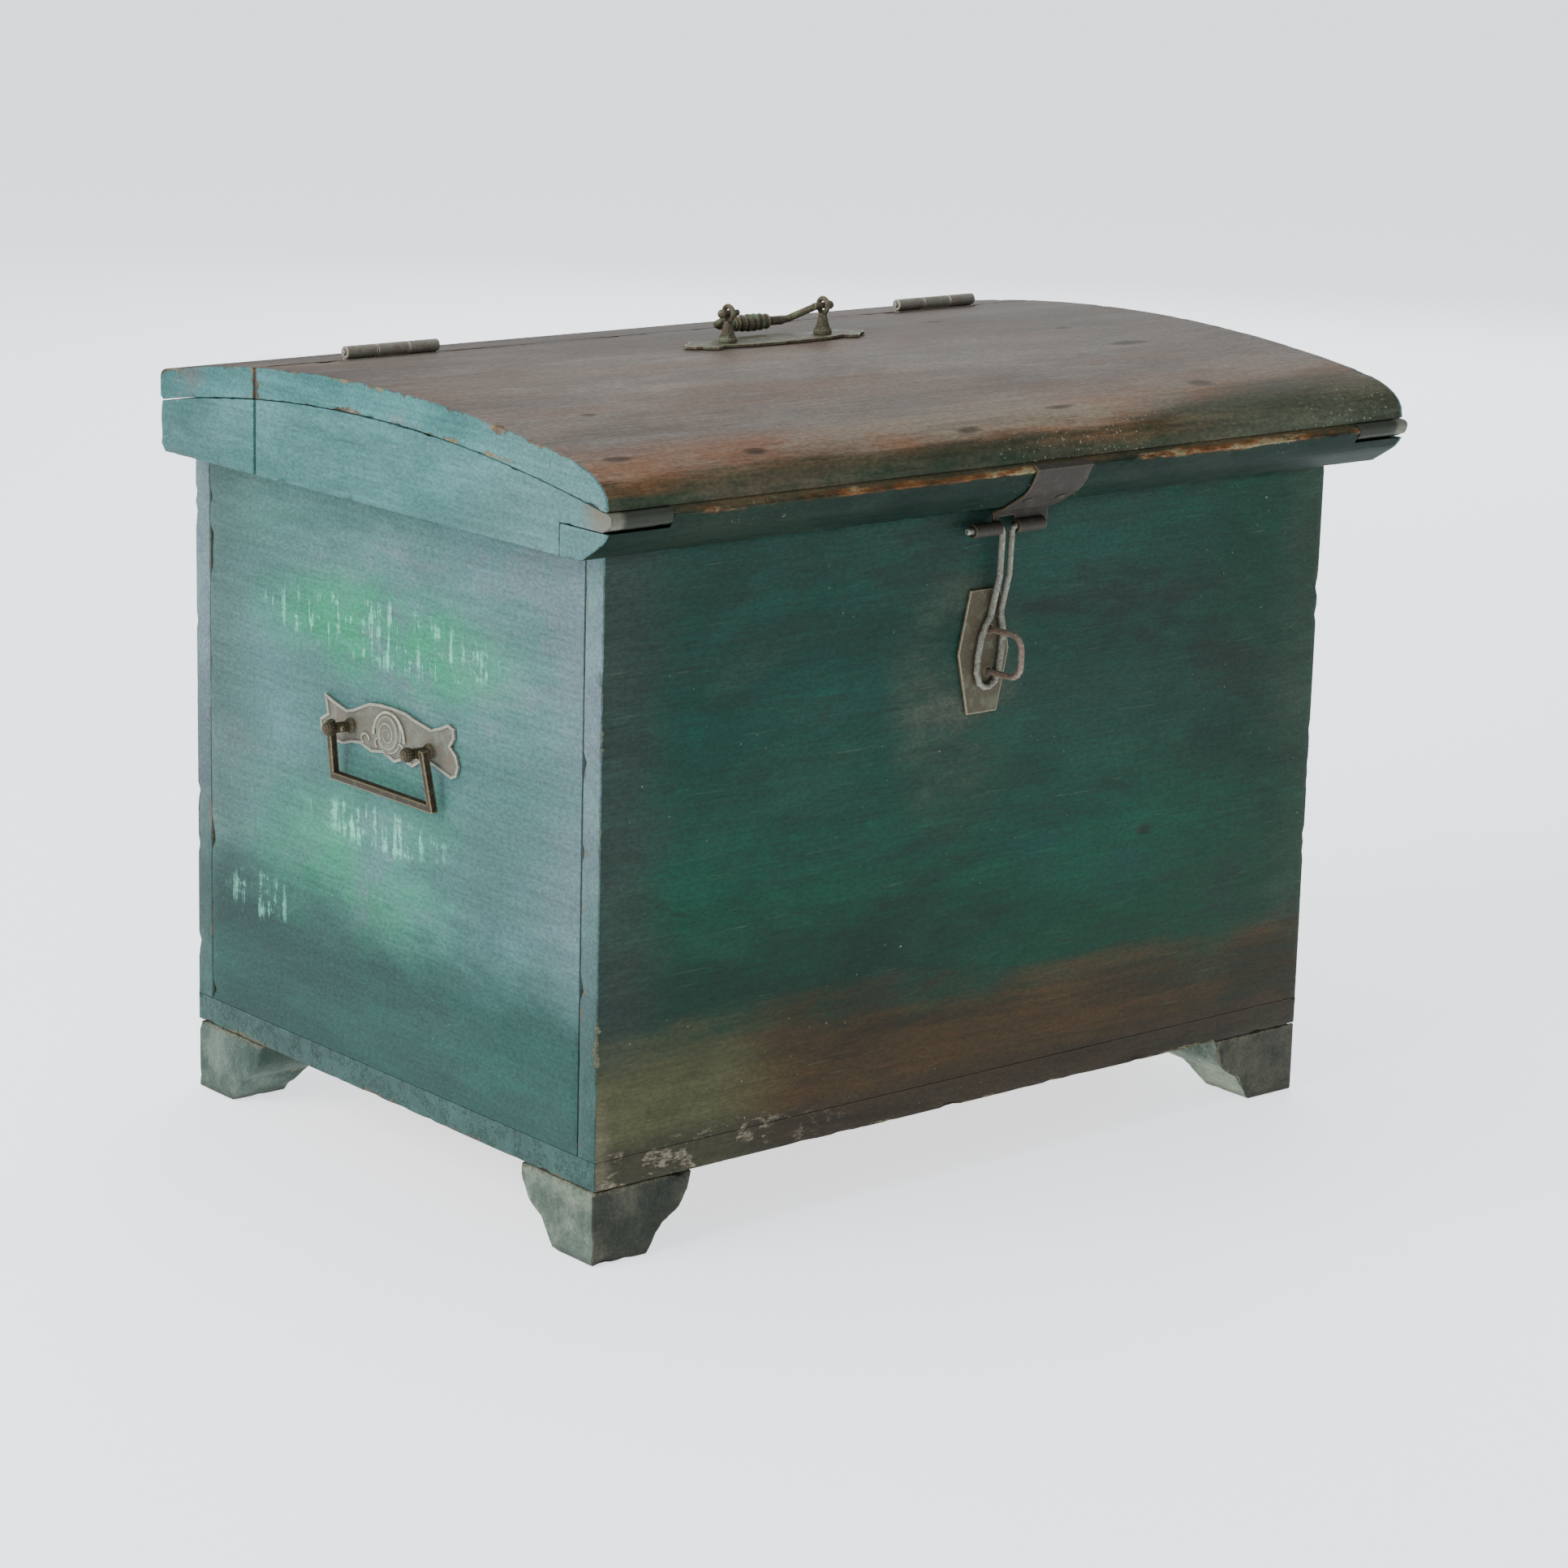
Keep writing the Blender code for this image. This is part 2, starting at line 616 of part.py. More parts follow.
# ---------------------------------------------------------------- hasp
def offset_path(path, distance):
    """The path moved sideways, to the left of its direction, with mitred corners."""
    moved = []
    for i, (a, b) in enumerate(path):
        ends = [path[max(i - 1, 0)], path[i], path[min(i + 1, len(path) - 1)]]
        normals = []
        for p, q in ((ends[0], ends[1]), (ends[1], ends[2])):
            length = hypot(q[0] - p[0], q[1] - p[1])
            if length:
                normals.append((-(q[1] - p[1]) / length, (q[0] - p[0]) / length))
        n = (sum(v[0] for v in normals) / len(normals), sum(v[1] for v in normals) / len(normals))
        scale = distance / (n[0] ** 2 + n[1] ** 2)
        moved.append((a + n[0] * scale, b + n[1] * scale))
    return moved


def make_strap():
    """Sheet iron bent round the lid's nose, rolled at its lower end into the barrel that the hasp turns in."""
    arris = Vector((NOSE_Y, ARRIS_Z))
    above = Vector((LIP_Y + 0.002, under_board(LIP_Y + 0.002)))
    behind = BARREL_Y + BARREL_RADIUS - STRAP_THICK - GAP
    face = [
        tuple(arris.lerp(above, STRAP_LAP / (above - arris).length)),
        *nose_face(),
        (behind, LID_Z - 0.0035),
        (behind, BARREL_Z),
    ]
    inner = offset_path(face, -GAP)
    outer = offset_path(face, -GAP - STRAP_THICK)
    strap = slab(
        "hasp_strap", inner + outer[::-1], "x", STRAP_X - STRAP_WIDTH / 2, STRAP_X + STRAP_WIDTH / 2, "old_iron",
    )
    first, last = BARREL_X - BARREL_LENGTH / 2, BARREL_X + BARREL_LENGTH / 2
    join(
        strap,
        rod("strap barrel", (first, BARREL_Y, BARREL_Z), (last, BARREL_Y, BARREL_Z), BARREL_RADIUS, sides=24),
    )
    cut(
        strap,
        rod(
            "strap bore", (first - 0.02, BARREL_Y, BARREL_Z), (last + 0.02, BARREL_Y, BARREL_Z),
            WIRE_RADIUS + 0.0004, sides=20,
        ),
    )
    slot = SLOT_WIDTH / 2
    cut(strap, box(
        "strap slot",
        (BARREL_X - slot, BARREL_Y - 0.02, BARREL_Z - BARREL_RADIUS - 0.005),
        (BARREL_X + slot, BARREL_Y + 0.02, BARREL_Z + BARREL_RADIUS + 0.0022),
    ))
    for i, offset in ((1, -0.0135), (2, 0.0135)):
        x = STRAP_X + offset
        place, normal = nail_place()
        inward = -normal
        head = Vector((x, *place)) + Vector((0, *normal)) * (GAP + STRAP_THICK + GAP)
        into = Vector((0, *inward))
        turned(
            f"strap_nail_{i}",
            [
                (0, -0.0012), (NAIL_HEAD * 0.6, -0.0009), (NAIL_HEAD, 0), (NAIL_RADIUS, 0),
                (NAIL_RADIUS, 0.012), (0, 0.014)
            ],
            head, into, "old_iron", sides=12,
        )
        hole = rod(f"nail hole {i}", head - into * 0.004, head + into * 0.016, NAIL_RADIUS + GAP, sides=12)
        cut(strap, hole)
        cut(bpy.data.objects["lid_front_rail"], hole)


def nail_place():
    """Middle of the lid rail's sloping face, and the direction straight out of it."""
    high, low = (Vector(point) for point in nose_face()[-2:])
    run = (low - high).normalized()
    return high.lerp(low, 0.35), Vector((run[1], -run[0]))


def make_hasp():
    """One length of wire: through the barrel, down, round the eye, up again and out of the other end."""
    half = ROD_SPACING / 2
    bottom = BARREL_Z - HASP_DROP
    neck_z = bottom + EYE_HEIGHT
    eye_y = PLATE_FACE_Y - WIRE_RADIUS - 0.0004
    eye_x = BARREL_X + EYE_SHIFT
    neck_x = BARREL_X + EYE_SHIFT * 0.35
    bend = 0.0030
    side = EYE_WIDTH / 2

    def rod_run(sign):
        down = [
            (BARREL_X + sign * (half + bend), BARREL_Y, BARREL_Z),
            (BARREL_X + sign * (half + 0.0009), BARREL_Y, BARREL_Z - 0.0009),
            (BARREL_X + sign * half, BARREL_Y, BARREL_Z - bend),
            (BARREL_X + sign * half, BARREL_Y + 0.001, BARREL_Z - 0.030),
            (neck_x + sign * half, eye_y, neck_z + 0.004),
            (neck_x + sign * (half + 0.0006) + EYE_SHIFT * 0.06, eye_y, neck_z),
        ]
        rows = ((0.0055, 0.72, 0.30), (0.012, 0.92, 0.45), (0.024, 1.0, 0.72), (0.034, 0.95, 0.90))
        for drop, width, shift in rows:
            down.append((neck_x + (eye_x - neck_x) * shift + sign * side * width, eye_y, neck_z - drop))
        return down

    left, right = rod_run(-1), rod_run(1)
    low_z = bottom + 0.0028
    around = [
        (eye_x - side * 0.62, eye_y, low_z),
        (eye_x - side * 0.22, eye_y, bottom),
        (eye_x + side * 0.22, eye_y, bottom),
        (eye_x + side * 0.72, eye_y, low_z),
    ]
    first, last = BARREL_X - BARREL_LENGTH / 2, BARREL_X + BARREL_LENGTH / 2
    route = (
        [
            (first - 0.0045, BARREL_Y, BARREL_Z)
        ] + left + around + right[::-1] + [(last + 0.0015, BARREL_Y, BARREL_Z)]
    )
    tube("hasp_wire", route, WIRE_RADIUS, "wire_iron", origin=(BARREL_X, BARREL_Y, BARREL_Z), resolution=3)


def make_staple():
    high, low = PLATE_HEIGHT / 2, PLATE_WIDE / 2
    narrow = PLATE_NARROW / 2
    outline = [
        (PLATE_X - narrow, STAPLE_Z + high), (PLATE_X - low, STAPLE_Z), (PLATE_X - narrow, STAPLE_Z - high),
        (PLATE_X + narrow, STAPLE_Z - high), (PLATE_X + low, STAPLE_Z), (PLATE_X + narrow, STAPLE_Z + high),
    ]
    plate = slab("staple_plate", outline, "y", FRONT_Y - GAP - PLATE_THICK, FRONT_Y - GAP, "old_iron")
    reach = PLATE_FACE_Y - STAPLE_REACH
    leg_end = FRONT_Y + STAPLE_BITE
    half = STAPLE_PITCH / 2
    top = [
        (y, z) for y,
        z in arc((reach + STAPLE_CORNER, STAPLE_Z + half - STAPLE_CORNER), STAPLE_CORNER, pi / 2, pi, 4)
    ]
    low_corner = arc(
        (reach + STAPLE_CORNER, STAPLE_Z - half + STAPLE_CORNER), STAPLE_CORNER, pi, 3 * pi / 2, 4,
    )
    route = [(leg_end, STAPLE_Z + half), *top, *low_corner, (leg_end, STAPLE_Z - half)]
    tube("staple", [(STAPLE_X, y, z) for y, z in route], WIRE_RADIUS, "old_iron", resolution=2)
    for sign in (-1, 1):
        z = STAPLE_Z + sign * half
        hole = rod(
            f"staple hole {sign}", (STAPLE_X, FRONT_Y - 0.01, z), (STAPLE_X, leg_end + 0.001, z),
            WIRE_RADIUS + GAP, sides=16,
        )
        cut(plate, hole)
        cut(bpy.data.objects["front_board"], hole)


# ---------------------------------------------------------------- top handle
def leaf_outline(length, width):
    """Long leaf with a waist near each end and a three-lobed tip, mirrored both ways."""
    quarter = [
        (0.0, 0.5), (0.12, 0.49), (0.22, 0.455), (0.30, 0.34), (0.335, 0.30), (0.36, 0.42), (0.395, 0.50),
        (0.425, 0.36), (0.445, 0.24), (0.475, 0.20), (0.5, 0.0),
    ]
    right = [(a * length, b * width) for a, b in quarter]
    lower = [(a, -b) for a, b in right[-2::-1]]
    left_low = [(-a, b) for a, b in lower[-2::-1]]
    left_high = [(-a, b) for a, b in right[-2:0:-1]]
    return right + lower + left_low + [(-length / 2, 0)] + left_high


def make_top_handle():
    middle_y = MID_Y + GRIP_Y
    base_z = CROWN_Z + GAP
    plate_top = base_z + PLATE_THICK
    outline = [(GRIP_X + a, middle_y + b) for a, b in leaf_outline(GRIP_PLATE_LENGTH, GRIP_PLATE_WIDTH)]
    plate = slab("top_handle_plate", outline, "z", base_z, plate_top, "old_iron")
    ring_z = plate_top + RING_RISE
    shank = 0.0024
    for side, name in ((-1, "top_handle_left_post"), (1, "top_handle_right_post")):
        x = GRIP_X + side * POST_SPACING / 2
        foot_z = plate_top + GAP
        neck_z = ring_z - RING_MAJOR - RING_MINOR + 0.0012
        post = turned(
            name,
            [(0, -0.016), (shank, -0.016), (shank, 0), (POST_FOOT, 0), (POST_FOOT, 0.0022), (POST_FOOT * 0.72, 0.0045),
             (0.0030, neck_z - foot_z - 0.002), (0.0026, neck_z - foot_z), (0, neck_z - foot_z)],
            (x, middle_y, foot_z), (0, 0, 1), "old_iron", sides=16,
        )
        bm = bmesh.new()
        circle = bmesh.ops.create_circle(
            bm, segments=8, radius=RING_MINOR, matrix=Matrix.Translation((0, RING_MAJOR, 0)),
        )
        edges = list({e for v in circle["verts"] for e in v.link_edges})
        bmesh.ops.spin(
            bm, geom=circle["verts"] + edges, cent=(0, 0, 0), axis=(1, 0, 0), angle=2 * pi, steps=20,
            use_merge=True,
        )
        bmesh.ops.remove_doubles(bm, verts=bm.verts, dist=1e-7)
        bmesh.ops.translate(bm, vec=(x, middle_y, ring_z), verts=bm.verts)
        join(post, add(f"ring {name}", finished(bm, name)))
        hole = rod(
            f"hole {name}", (x, middle_y, base_z - 0.018), (x, middle_y, foot_z + 0.001), shank + GAP,
            sides=16,
        )
        cut(plate, hole)
        cut(bpy.data.objects["lid_top_board"], hole)

    half = POST_SPACING / 2
    tip = half + 0.0048
    shoulder = half - 0.0058
    bar_y, bar_z = middle_y + BAIL_BACK, ring_z - BAIL_DOWN
    elbow = half - 0.0058 - BAIL_INSET * 0.4
    route = [
        (GRIP_X - shoulder, middle_y + 0.0012, ring_z - 0.0006),
        (GRIP_X - elbow + 0.0004, bar_y - 0.0018, bar_z + 0.0010),
        (GRIP_X - elbow + 0.0028, bar_y, bar_z),
        (GRIP_X + elbow - 0.0028, bar_y, bar_z),
        (GRIP_X + elbow - 0.0004, bar_y - 0.0018, bar_z + 0.0010),
        (GRIP_X + shoulder, middle_y + 0.0012, ring_z - 0.0006),
    ]
    bail = tube("top_bail", route, BAIL_RADIUS, "old_iron", origin=(GRIP_X, middle_y, ring_z), resolution=3)
    for side in (-1, 1):
        start = (GRIP_X + side * (shoulder - 0.0022), middle_y, ring_z)
        end = (GRIP_X + side * tip, middle_y, ring_z)
        join(bail, rod(f"bail pin {side}", start, end, BAIL_PIN_RADIUS, sides=14))
        join(
            bail,
            ball(
                f"bail tip {side}", (GRIP_X + side * (tip + 0.0006), middle_y, ring_z),
                BAIL_PIN_RADIUS * 1.35,
            ),
        )
    join(
        bail,
        rod(
            "bail bar", (GRIP_X - elbow + 0.004, bar_y, bar_z), (GRIP_X + elbow - 0.004, bar_y, bar_z),
            BAIL_BAR_RADIUS, sides=14,
        ),
    )
    pitch = GRIP_LENGTH / GRIP_BEADS
    profile = [(0, 0)]
    for i in range(GRIP_BEADS):
        swell = sin(pi * (i + 0.5) / GRIP_BEADS)
        crest = GRIP_RADIUS * (0.72 + 0.28 * swell)
        profile += [(crest * 0.86, i * pitch), (crest, (i + 0.3) * pitch), (crest, (i + 0.7) * pitch)]
    profile += [(GRIP_RADIUS * 0.62, GRIP_LENGTH), (0, GRIP_LENGTH)]
    join(bail, turned("bail beads", profile, (GRIP_X - GRIP_LENGTH / 2, bar_y, bar_z), (1, 0, 0), sides=16))


# ---------------------------------------------------------------- side handles
def wing_outline():
    """Cast plate shaped like a bat: two eared wings, a domed middle and scrolls below, as (forward, up)."""
    return [
        (-0.0722, 0.0132), (-0.0610, 0.0098), (-0.0480, 0.0070), (-0.0400, 0.0090), (-0.0331, 0.0120),
        (-0.0230, 0.0160), (-0.0120, 0.0174), (0.0020, 0.0176), (0.0150, 0.0172), (0.0271, 0.0145),
        (0.0427, 0.0120), (0.0520, 0.0150), (0.0605, 0.0185), (0.0665, 0.0165), (0.0670, 0.0105),
        (0.0630, 0.0050), (0.0690, 0.0005), (0.0715, -0.0060), (0.0690, -0.0130), (0.0640, -0.0150),
        (0.0560, -0.0130), (0.0465, -0.0105), (0.0380, -0.0090), (0.0300, -0.0120), (0.0237, -0.0158),
        (0.0130, -0.0135), (0.0042, -0.0168), (-0.0080, -0.0130), (-0.0205, -0.0150), (-0.0330, -0.0120),
        (-0.0420, -0.0130), (-0.0519, -0.0160), (-0.0650, -0.0155), (-0.0760, -0.0110), (-0.0775, -0.0040),
        (-0.0690, 0.0010),
    ]


def make_side_handle(side, sign):
    """Plate, two ball-headed posts and a square bail on one side wall; sign is -1 on the left."""
    wall = sign * BODY_WIDTH / 2
    middle_y = MID_Y + SIDE_HANDLE_Y
    look = "old_iron"

    def out(distance):
        return wall + sign * distance

    outline = [(middle_y - forward, SIDE_HANDLE_Z + up) for forward, up in wing_outline()]
    plate = slab(f"{side}_handle_plate", outline, "x", *sorted((out(GAP), out(GAP + SIDE_PLATE_THICK))), look)
    dome = rod(
        f"dome {side}", (out(GAP + 0.001), middle_y + 0.002, SIDE_HANDLE_Z + 0.001),
        (
            out(GAP + SIDE_PLATE_THICK + 0.0012), middle_y + 0.002, SIDE_HANDLE_Z + 0.001,
        ), 0.0125, sides=28, end_radius=0.0105,
    )
    join(plate, dome)
    axis_x = out(SIDE_AXIS_OUT)
    axis_z = SIDE_HANDLE_Z - 0.002
    neck = SIDE_POST_RADIUS
    face = GAP + SIDE_PLATE_THICK + GAP
    for which, offset in (("rear", 1), ("front", -1)):
        y = middle_y + offset * SIDE_POST_SPACING / 2
        throat = SIDE_BALL_OUT - sqrt(SIDE_BALL_RADIUS**2 - (neck * 0.9) ** 2)
        dome_points = arc((0, SIDE_BALL_OUT - face), SIDE_BALL_RADIUS, -0.86, pi / 2, 6)
        post = turned(
            f"{side}_handle_{which}_post",
            [(0, -0.014), (0.0022, -0.014), (0.0022, 0), (neck * 1.5, 0), (neck * 1.45, 0.0015), (neck, 0.0032),
             (neck, throat - face - 0.0003), *dome_points[:-1], (0, SIDE_BALL_OUT + SIDE_BALL_RADIUS - face)],
            (out(face), y, axis_z), (sign, 0, 0), look, sides=16,
        )
        cut(post, rod(
            f"eye {side} {which}", (
                axis_x, y - 0.02, axis_z,
            ), (axis_x, y + 0.02, axis_z), SIDE_PIN_RADIUS + GAP, sides=14,
        ))
        hole = rod(
            f"shank hole {side} {which}", (out(-0.015), y, axis_z), (out(0.006), y, axis_z), 0.0022 + GAP,
            sides=14,
        )
        cut(plate, hole)
        cut(bpy.data.objects[f"{side}_side_board"], hole)

    half = SIDE_POST_SPACING / 2
    section = SIDE_BAIL_SECTION
    leg = half + SIDE_BALL_RADIUS + BAIL_PLAY + section / 2    # the legs swing past the balls
    foot = leg + 0.0030
    lean = Vector((out(SIDE_BAIL_OUT) - axis_x, 0, -SIDE_BAIL_DROP))
    down = lean.normalized()
    across = down.cross(Vector((0, 1, 0))).normalized()
    reach = lean.length

    def frame_outline(grow):
        """The bail's outline, grown outwards, or shrunk to the window between its legs."""
        low, high = reach + grow, -section * (0.7 if grow > 0 else 1)
        return [(-leg - grow, high), (-foot - grow, low), (foot + grow, low), (leg + grow, high)]

    placing = Matrix.Identity(4)
    placing.col[0][:3] = (0, 1, 0)
    placing.col[1][:3] = down
    placing.col[2][:3] = Vector((0, 1, 0)).cross(down)
    placing.col[3][:3] = (axis_x, middle_y, axis_z)

    def bail_solid(name, outline, thick, look=None):
        origin = (axis_x, middle_y, axis_z) if look else (0, 0, 0)
        return add(name, mesh_of_curve(name, flat_curve(name, outline, thick), placing), look, origin)

    bail = bail_solid(f"{side}_bail", frame_outline(section / 2), section, look)
    cut(bail, bail_solid(f"window {side}", frame_outline(-section / 2), section * 2))
    for offset in (1, -1):
        start = (axis_x, middle_y + offset * (leg - section * 0.2), axis_z)
        end = (axis_x, middle_y + offset * (half - neck - 0.0022), axis_z)
        join(bail, rod(f"pin {side} {offset}", start, end, SIDE_PIN_RADIUS, sides=12))


# ---------------------------------------------------------------- the whole chest
LID_PIECES = (
    "lid_top_board", "lid_left_cheek", "lid_right_cheek", "lid_front_rail", "lid_seam_rail",
    "left_hinge_lid_leaf", "right_hinge_lid_leaf", "hasp_strap", "strap_nail_1", "strap_nail_2",
    "top_handle_plate", "top_handle_left_post", "top_handle_right_post",
    *(f"{side}_lid_screw_{i}" for side in ("left", "right") for i in (1, 2, 3)),
)


def hang_lid():
    """The lid's pieces hang from an empty on the hinges' axis, so turning it opens the lid."""
    axis = bpy.data.objects.new("lid_axis", None)
    axis.location = (0, SEAM_Y, HINGE_Z)
    parts.objects.link(axis)
    bpy.context.view_layer.update()
    for name in LID_PIECES:
        piece = bpy.data.objects[name]
        piece.parent = axis
        piece.matrix_parent_inverse = axis.matrix_world.inverted()


def main():
    global parts, cutters
    clear_scene()
    parts = make_collection("cash_chest")
    cutters = make_collection("cutters")
    make_case()
    make_feet()
    make_lid()
    make_fixed_strip()
    for side, middle in HINGE_PLACES.items():
        make_hinge(side, middle)
    make_strap()
    make_hasp()
    make_staple()
    make_top_handle()
    make_side_handle("left", -1)
    make_side_handle("right", 1)
    hang_lid()


main()
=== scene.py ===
# %% [markdown]
# # An old painted cash chest
# A merchant's money chest: painted boards on four sawn feet, a crowned lid with a heavy rounded nose, a wire
# hasp over a staple, and iron drop handles. The solid model is loaded first and stays where it is. Every
# piece below is a more finished copy of one of its solids, so nothing has to be fitted by eye.

# %% Load the solid model
import json
from math import cos, pi, radians, sin

import bmesh
import bpy
from mathutils import Matrix, Vector, noise
from mathutils.kdtree import KDTree

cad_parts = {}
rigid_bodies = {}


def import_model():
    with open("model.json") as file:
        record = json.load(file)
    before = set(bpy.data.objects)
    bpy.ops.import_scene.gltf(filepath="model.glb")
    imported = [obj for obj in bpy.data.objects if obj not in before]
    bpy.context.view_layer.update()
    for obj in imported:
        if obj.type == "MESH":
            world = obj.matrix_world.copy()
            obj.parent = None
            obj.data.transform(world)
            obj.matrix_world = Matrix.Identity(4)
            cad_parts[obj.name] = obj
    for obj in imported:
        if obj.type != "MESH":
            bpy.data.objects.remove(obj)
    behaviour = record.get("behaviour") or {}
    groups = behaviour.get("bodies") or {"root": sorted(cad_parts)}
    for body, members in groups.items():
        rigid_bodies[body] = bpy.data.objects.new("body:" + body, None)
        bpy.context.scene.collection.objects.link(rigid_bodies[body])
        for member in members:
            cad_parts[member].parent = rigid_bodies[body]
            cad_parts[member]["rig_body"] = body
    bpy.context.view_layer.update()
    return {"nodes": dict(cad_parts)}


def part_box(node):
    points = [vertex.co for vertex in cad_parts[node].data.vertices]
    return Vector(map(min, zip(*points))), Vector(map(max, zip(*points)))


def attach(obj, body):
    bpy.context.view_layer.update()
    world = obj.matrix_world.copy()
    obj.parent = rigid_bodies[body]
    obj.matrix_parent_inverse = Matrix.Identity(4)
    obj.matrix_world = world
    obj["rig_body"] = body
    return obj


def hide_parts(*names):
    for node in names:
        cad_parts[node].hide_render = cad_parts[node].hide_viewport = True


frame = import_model()


# %% Helpers for objects and meshes
def placed(name, data):
    """A new object."""
    thing = bpy.data.objects.new(name, data)
    bpy.context.scene.collection.objects.link(thing)
    return thing


def mesh_from(name, bm):
    """The bmesh as a mesh. The bmesh is used up."""
    mesh = bpy.data.meshes.new(name)
    bm.to_mesh(mesh)
    bm.free()
    return mesh


# %% [markdown]
# ## Places
# Both the shapes and the paint want a few levels: where the walls are, where the lid starts and how far it
# stands out. They are measured from the boards themselves.

# %% Levels measured from the boards
front_low, front_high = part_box("front_board")
lid_low, lid_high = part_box("lid_top_board")
rail_low, rail_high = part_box("lid_front_rail")
FRONT_Y, BACK_Y, WALL_X = front_low.y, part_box("back_board")[1].y, front_high.x  # outer faces of the walls
FOOT_TOP, WALL_FOOT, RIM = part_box("base_board")[0].z, front_low.z, front_high.z
LID_X, NOSE_Y, RAIL_BACK = lid_high.x, rail_low.y, rail_high.y  # half the lid's width, and its front rail
LIP_Y, LIP_Z = lid_low.y, lid_low.z  # the lower front corner of the lid's top board
ARRIS_Z = min((v.co for v in frame["nodes"]["lid_front_rail"].data.vertices), key=lambda place: place.y).z
print(f"front at y {FRONT_Y:.4f}, wall at x {WALL_X:.4f}, rim at z {RIM:.4f}, nose at y {NOSE_Y:.4f}")

# %% [markdown]
# ## Camera, floor and light
# The chest is seen from its front left, a little above. A long lens from some way off keeps its uprights
# nearly parallel. A big soft light hangs to the left, and three weaker ones fill the front, top and back.

# %% Camera
LENS_MM, SENSOR_MM = 98.87, 36
CAMERA_PLACE = (-1.78415, -2.11494, 0.89754)
HEADING, TILT, ROLL = radians(-40.2051), radians(76.1694), radians(1.4975)
camera_data = bpy.data.cameras.new("long lens")
camera_data.lens, camera_data.sensor_width = LENS_MM, SENSOR_MM
camera = placed("camera", camera_data)
turn = Matrix.Rotation(HEADING, 4, "Z") @ Matrix.Rotation(TILT, 4, "X")
camera.matrix_world = Matrix.Translation(CAMERA_PLACE) @ turn @ Matrix.Rotation(ROLL, 4, "Z")
bpy.context.scene.camera = camera
print("camera at", [round(v, 2) for v in camera.location])

# %% Soft lights
LIT_POINT = Vector((0, 0, 0.28))


def soft_light(name, place, size, power, tint=(1, 1, 1)):
    """A square lamp that faces the middle of the chest."""
    data = bpy.data.lights.new(name, "AREA")
    data.size, data.energy, data.color = size, power, tint
    lamp = placed(name, data)
    lamp.location = place
    lamp.rotation_euler = (LIT_POINT - Vector(place)).to_track_quat("-Z", "Y").to_euler()


soft_light("window", (-3.4, 0.2, 2.0), 2.6, 165, (1.0, 0.99, 0.97))
soft_light("front fill", (0.8, -3.6, 1.6), 2.4, 17, (0.97, 0.99, 1.0))
soft_light("top", (0.3, 0.6, 3.4), 2.4, 46)
soft_light("back fill", (2.8, 2.6, 1.8), 2.2, 60)
print("four soft lights")

# %% Floor and surroundings
ROOM_TINT, ROOM_LIGHT = (0.90, 0.94, 1.0, 1), 0.50
FLOOR_PAINT, FLOOR_GLOW, FLOOR_LIGHT = (0.90, 0.92, 0.96, 1), (0.92, 0.95, 1.0, 1), 1.4
FLOOR_RADIUS, FLOOR_DROP = 60, 0.0005
world = bpy.data.worlds.new("pale room")
world.use_nodes = True
world.node_tree.nodes["Background"].inputs["Color"].default_value = ROOM_TINT
world.node_tree.nodes["Background"].inputs["Strength"].default_value = ROOM_LIGHT
bpy.context.scene.world = world
disc = bmesh.new()
bmesh.ops.create_circle(disc, cap_ends=True, segments=64, radius=FLOOR_RADIUS)
floor = placed("floor", mesh_from("floor", disc))
floor.location.z = -FLOOR_DROP
floor_look = bpy.data.materials.new("pale floor")
floor_look.use_nodes = True
floor_shader = floor_look.node_tree.nodes["Principled BSDF"]
floor_shader.inputs["Base Color"].default_value = FLOOR_PAINT
floor_shader.inputs["Roughness"].default_value = 0.9
floor_shader.inputs["Emission Color"].default_value = FLOOR_GLOW
floor_shader.inputs["Emission Strength"].default_value = FLOOR_LIGHT
floor.data.materials.append(floor_look)
print("floor and room light")

# %% [markdown]
# ## A small language for finishes
# Old paint is many layers: a colour, broad fading, fine streaks along the grain, dirt, and bare wood where
# hands and feet rub. Each layer is a sum or a mix of masks, so shader values are wrapped in a class whose
# + - * / make Math nodes, and everything else comes from one method that adds any node. A pair of numbers
# after a mask is where on its run from 0 to 1 a layer starts and is full; after a place it is in metres.


# %% Shader values that can be added and multiplied
class Value:
    def __init__(self, finish, socket):
        self.finish, self.socket = finish, socket

    def __add__(self, other):
        return self.finish.math("ADD", self, other)

    def __sub__(self, other):
        return self.finish.math("SUBTRACT", self, other)

    def __rsub__(self, other):
        return self.finish.math("SUBTRACT", other, self)

    def __mul__(self, other):
        return self.finish.math("MULTIPLY", self, other)

    def __truediv__(self, other):
        return self.finish.math("DIVIDE", self, other)

    def __abs__(self):
        return self.finish.math("ABSOLUTE", self)

    __radd__ = __add__


def ragged(place, mask, reach):
    """A place or a mask whose levels wander with another mask, by up to half this reach either way."""
    return place + (mask - 0.5) * reach


PAINT_STRENGTH, PAINT_DEPTH, BLACKEST = 1.30, 0.57, 0.002


def paint(look):
    """A colour as it looks in this room, 0 to 255, as the deeper and stronger one that the shader wants."""
    seen = [((c / 255 + 0.055) / 1.055) ** 2.4 for c in look]  # the sRGB curve
    grey = sum(seen) / 3
    return tuple(max(BLACKEST, grey + (c - grey) * PAINT_STRENGTH) * PAINT_DEPTH for c in seen) + (1,)


